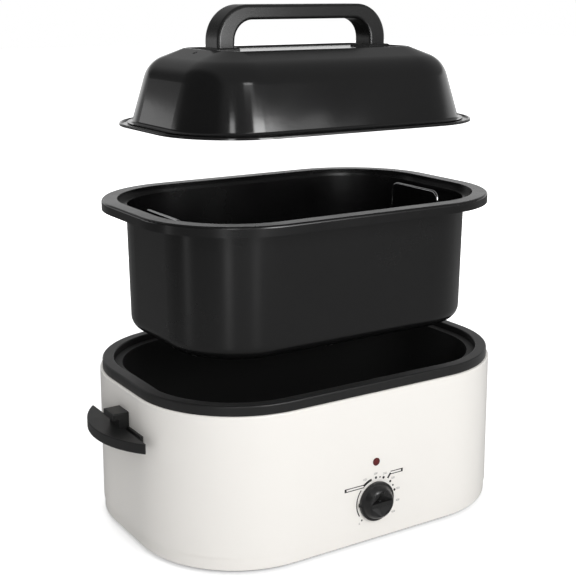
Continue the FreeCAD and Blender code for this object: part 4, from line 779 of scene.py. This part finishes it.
def arc(start, stop, radius, width):
    """A printed arc between two angles, spun round the knob's axis."""
    spot = on_dial(start, radius)
    let_go()
    bpy.ops.mesh.primitive_plane_add(size=width, location=spot, rotation=(FRONT, math.radians(start), 0))
    piece = started("arc")
    turn = math.radians(start)
    outward = Vector((math.sin(turn), 0, math.cos(turn)))
    side = Vector((outward.z, 0, -outward.x))
    pick_edges(piece, lambda point: (point - spot).dot(side) > 0)
    steps = max(LEAST_ARC_STEPS, int(abs(stop - start) / ARC_STEP))
    bpy.ops.mesh.spin(steps=steps, angle=math.radians(stop - start), center=(0, SHELL_FRONT, KNOB_LEVEL),
                      axis=(0, -1, 0))
    bpy.ops.object.mode_set(mode="OBJECT")
    return printed(piece)


def number(text, angle, radius, height):
    """A plain printed number, upright."""
    let_go()
    bpy.ops.object.text_add(location=on_dial(angle, radius), rotation=(FRONT, 0, 0))
    piece = bpy.context.object
    piece.data.body = text
    piece.data.size = height
    piece.data.align_x = "CENTER"
    piece.data.align_y = "CENTER"
    bpy.ops.object.convert(target="MESH")
    return printed(started("number"))


def callout(root, side, reach):
    """A printed frame that leads sideways from a spot near the ring of dots."""
    end = root + Vector((side * reach, 0, 0))
    half = Vector((0, 0, CALLOUT_HALF))
    return [bar(root + half, end + half, CALLOUT_LINE), bar(root - half, end - half, CALLOUT_LINE),
            bar(end - half * 1.3, end + half * 1.3, CALLOUT_END)]


class ROASTER_OT_dial(bpy.types.Operator):
    """Print the dots, bars and plain numbers round the knob"""
    bl_idname = "roaster.dial"
    bl_label = "Dial Print"

    def execute(self, context):
        sizes = context.scene.roaster_dial
        ring = sizes.dot_ring
        dark = [dot(angle, ring, size * MM) for angle, size in DOTS]
        dark += [arc(start, stop, ring - inside * MM, width * MM) for start, stop, inside, width in ARCS]
        for angle, outside, side, reach in CALLOUTS:
            dark += callout(on_dial(angle, ring + outside * MM), side, reach * MM)
        angle, near, far, width = LEADER
        dark.append(bar(on_dial(angle, ring + near * MM), on_dial(angle, ring + far * MM), width * MM))
        ink = joined("dial_marks", dark)
        numbers = joined("dial_numbers", [number(text, angle, sizes.number_ring, sizes.number_height)
                                          for text, angle in NUMBERS])
        all_finishes = finishes(context.scene.roaster_colours)
        for piece, finish in ((ink, "ink"), (numbers, "pale_ink")):
            clad(piece, all_finishes[finish])
            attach(piece, "base")
        return {"FINISHED"}


# ---------------------------------------------------------------------------------------------
# Studio
# ---------------------------------------------------------------------------------------------
# Large lamps that glossy surfaces don't show: name, place, width, height, and the property with its power
AIM = (0, 0, 0.3)
LAMPS = (
    ("key_lamp", (-0.25, -2.3, 1.5), 1.8, 1.4, "key_power"),
    ("top_lamp", (-0.1, 0.5, 2.3), 1.8, 1.2, "top_power"),
    ("back_lamp", (1.0, 2.2, 1.1), 1.8, 1.4, "back_power"),
)

# Upright lamps that only glossy surfaces show: name, degrees round the oven, distance from its middle, low
# end, high end, width, brightness
STRIPS = (
    ("left_strip", 97, 0.95, 0.0, 0.5, 0.11, 0.75),
    ("corner_strip", 44, 0.95, 0.0, 0.5, 0.10, 1.4),
    ("front_strip", 9, 0.95, 0.0, 0.5, 0.15, 0.55),
    ("left_glow", 137, 0.95, 0.45, 0.672, 0.40, 0.95),
    ("high_patch", 10, 0.95, 1.0, 1.13, 0.26, 5.0),
    ("middle_streak", 3, 0.95, 0.86, 0.96, 0.12, 0.7),
    ("low_streak", 42, 0.50, 0.45, 0.686, 0.05, 6.0),
    ("near_glow", 6, 0.50, 0.45, 0.703, 0.15, 12.0),
    ("middle_glow", -9, 0.50, 0.45, 0.701, 0.105, 6.5),
    ("far_glow", -19, 0.50, 0.45, 0.690, 0.09, 2.0),
    ("last_glow", -27, 0.50, 0.45, 0.670, 0.06, 0.6),
)

# The room as a gloss shows it: where up the sky the ceiling starts, and where the walls dim towards a side
CEILING_STARTS = (0.13, 0.24)
DIM_SIDE = (-0.94, 0.34)
DIM_STARTS = (0.38, 0.62)
DIM_LEVEL = 0.34

# The floor: its paleness, how much darker a gloss shows it before and behind the oven, how the camera sees
# its glow rise with the distance from the oven, and the glow that a gloss shows
FLOOR_SIZE = 24
FLOOR_PALENESS = 0.86
GLOSS_STARTS = (0.0, 0.6)
GLOSS_LOSS = (-0.50, -0.68)
GLOW_STARTS = (0.35, 2.0)
GLOW_LEVELS = (0.46, 1.0)
GLOSS_GLOW = 0.04


def aimed(spot, target):
    """How a lamp at a spot is turned to face a target."""
    return (Vector(target) - Vector(spot)).to_track_quat("-Z", "Y").to_euler()


def standing_strip(name, turn, reach, low, high, width, glow):
    """An upright lamp beside the oven that lights nothing and is seen only as a reflection."""
    spot = (-math.sin(turn) * reach, -math.cos(turn) * reach, (low + high) / 2)
    power = glow * math.pi * width * (high - low)
    strip = soft_lamp(name, spot, (0, 0, spot[2]), width, high - low, power, True)
    strip.visible_diffuse = False


def soft_lamp(name, spot, target, width, height, power, mirrored):
    """A rectangular lamp, which shows as a bright patch in glossy surfaces only where mirrored."""
    let_go()
    bpy.ops.object.light_add(type="AREA", location=spot, rotation=aimed(spot, target))
    lamp = bpy.context.object
    lamp.name = name
    lamp.data.name = name
    lamp.data.shape = "RECTANGLE"
    lamp.data.size = width
    lamp.data.size_y = height
    lamp.data.energy = power
    lamp.visible_glossy = mirrored
    lamp.visible_camera = False
    return lamp


def sum_of(nodes, link, products):
    """Adds up products of two sockets or numbers each."""
    total = 0
    for first, second in products:
        node = nodes.new("ShaderNodeMath")
        node.operation = "MULTIPLY_ADD"
        for place, value in enumerate((first, second, total)):
            if isinstance(value, bpy.types.NodeSocket):
                link(value, node.inputs[place])
            else:
                node.inputs[place].default_value = value
        total = node.outputs["Value"]
    return total


def ramp(nodes, link, source, limits, values):
    """A value that runs smoothly from one number to another while its source runs between limits."""
    node = nodes.new("ShaderNodeMapRange")
    node.interpolation_type = "SMOOTHSTEP"
    for name, value in zip(("From Min", "From Max", "To Min", "To Max"), (*limits, *values)):
        node.inputs[name].default_value = value
    link(source, node.inputs["Value"])
    return node.outputs["Result"]


class ROASTER_OT_studio(bpy.types.Operator):
    """Set up the pale floor, the soft lamps, the white room and the camera"""
    bl_idname = "roaster.studio"
    bl_label = "Studio"

    def execute(self, context):
        studio = context.scene.roaster_studio
        self.camera(context, studio)
        self.room(context, studio)
        self.floor(studio)
        for name, spot, width, height, power in LAMPS:
            soft_lamp(name, spot, AIM, width, height, getattr(studio, power), False)
        for name, turn, reach, low, high, width, glow in STRIPS:
            standing_strip(name, math.radians(turn), reach, low, high, width, glow * studio.strip_glow)
        return {"FINISHED"}

    def camera(self, context, studio):
        turn, dip = studio.camera_turn, studio.camera_dip
        behind = Vector((math.sin(turn), -math.cos(turn), 0))
        right = Vector((math.cos(turn), math.sin(turn), 0))
        back = behind * math.cos(dip) + Vector((0, 0, math.sin(dip)))
        up = back.cross(right)
        spot = behind * studio.camera_distance + right * studio.camera_aside
        spot.z = studio.camera_height
        let_go()
        bpy.ops.object.camera_add(location=spot)
        camera = context.object
        camera.name = "studio_camera"
        camera.rotation_euler = Matrix((right, up, back)).transposed().to_euler()
        camera.data.lens = studio.lens_length
        camera.data.sensor_width = 36
        camera.data.shift_y = studio.lens_shift
        camera.data.clip_end = 50
        context.scene.camera = camera

    def room(self, context, studio):
        world = bpy.data.worlds.new("white room")
        world.use_nodes = True
        context.scene.world = world
        nodes, link = world.node_tree.nodes, world.node_tree.links.new
        light = nodes["Background"]
        light.inputs["Color"].default_value = (1, 1, 1, 1)
        path = nodes.new("ShaderNodeLightPath")
        place = nodes.new("ShaderNodeTexCoord")
        parts = nodes.new("ShaderNodeSeparateXYZ")
        link(place.outputs["Generated"], parts.inputs["Vector"])
        walls = ramp(nodes, link, parts.outputs["Z"], CEILING_STARTS, (1.0, studio.ceiling))
        sideways = sum_of(nodes, link, zip((parts.outputs["X"], parts.outputs["Y"]), DIM_SIDE))
        shade = ramp(nodes, link, sideways, DIM_STARTS, (1.0, DIM_LEVEL))
        walls = sum_of(nodes, link, ((walls, shade),))
        strength = sum_of(nodes, link, ((path.outputs["Is Camera Ray"], 1.0),
                                        (path.outputs["Is Transmission Ray"], 1.0),
                                        (path.outputs["Is Glossy Ray"], walls),
                                        (path.outputs["Is Diffuse Ray"], studio.ambient)))
        link(strength, light.inputs["Strength"])

    def floor(self, studio):
        let_go()
        bpy.ops.mesh.primitive_plane_add(size=FLOOR_SIZE, location=(0, 0, 0))
        floor = started("studio_floor")
        finish = bpy.data.materials.new("pale floor")
        finish.use_nodes = True
        nodes, link = finish.node_tree.nodes, finish.node_tree.links.new
        matt = nodes["Principled BSDF"]
        matt.inputs["Roughness"].default_value = 0.9
        matt.inputs["Specular IOR Level"].default_value = 0.1
        glow = nodes.new("ShaderNodeEmission")
        glow.inputs["Color"].default_value = (1, 1, 1, 1)
        path = nodes.new("ShaderNodeLightPath")
        place = nodes.new("ShaderNodeTexCoord")
        parts = nodes.new("ShaderNodeSeparateXYZ")
        link(place.outputs["Object"], parts.inputs["Vector"])
        behind = ramp(nodes, link, parts.outputs["Y"], GLOSS_STARTS, GLOSS_LOSS)
        paleness = sum_of(nodes, link, ((1.0, FLOOR_PALENESS), (path.outputs["Is Glossy Ray"], behind)))
        link(paleness, matt.inputs["Base Color"])
        reach = nodes.new("ShaderNodeVectorMath")
        reach.operation = "LENGTH"
        link(place.outputs["Object"], reach.inputs[0])
        lift = ramp(nodes, link, reach.outputs["Value"], GLOW_STARTS, GLOW_LEVELS)
        strength = sum_of(nodes, link, ((path.outputs["Is Camera Ray"], lift),
                                        (path.outputs["Is Transmission Ray"], lift),
                                        (path.outputs["Is Glossy Ray"], GLOSS_GLOW)))
        both = nodes.new("ShaderNodeAddShader")
        link(strength, glow.inputs["Strength"])
        link(matt.outputs["BSDF"], both.inputs[0])
        link(glow.outputs["Emission"], both.inputs[1])
        link(both.outputs["Shader"], nodes["Material Output"].inputs["Surface"])
        clad(floor, finish)


# ---------------------------------------------------------------------------------------------
# Panel, registration and the run
# ---------------------------------------------------------------------------------------------
STEPS = (
    ROASTER_OT_studio,
    ROASTER_OT_finish_base,
    ROASTER_OT_finish_cookware,
    ROASTER_OT_knob,
    ROASTER_OT_lens,
    ROASTER_OT_dial,
)


class ROASTER_PT_tools(bpy.types.Panel):
    """The roaster's pieces, sizes and colours"""
    bl_label = "Roaster Oven"
    bl_idname = "ROASTER_PT_tools"
    bl_space_type = "VIEW_3D"
    bl_region_type = "UI"
    bl_category = "Roaster"

    def draw(self, context):
        column = self.layout.column(align=True)
        for step in STEPS:
            column.operator(step.bl_idname)
        for name, group in GROUPS:
            box = self.layout.box()
            box.label(text=name.removeprefix("roaster_").capitalize())
            for setting in group.__annotations__:
                box.prop(getattr(context.scene, name), setting)


GROUPS = (
    ("roaster_knob", RoasterKnobSizes),
    ("roaster_dial", RoasterDialSizes),
    ("roaster_colours", RoasterColours),
    ("roaster_studio", RoasterStudio),
)


def register():
    for name, group in GROUPS:
        bpy.utils.register_class(group)
        setattr(bpy.types.Scene, name, bpy.props.PointerProperty(type=group))
    for step in STEPS:
        bpy.utils.register_class(step)
    bpy.utils.register_class(ROASTER_PT_tools)


def unregister():
    bpy.utils.unregister_class(ROASTER_PT_tools)
    for step in reversed(STEPS):
        bpy.utils.unregister_class(step)
    for name, group in reversed(GROUPS):
        delattr(bpy.types.Scene, name)
        bpy.utils.unregister_class(group)


def main():
    register()
    bpy.context.scene.view_settings.view_transform = "Standard"
    bpy.ops.roaster.studio()
    bpy.ops.roaster.finish_base()
    bpy.ops.roaster.finish_cookware()
    bpy.ops.roaster.knob()
    bpy.ops.roaster.lens()
    bpy.ops.roaster.dial()
    let_go()


if __name__ == "__main__":
    main()
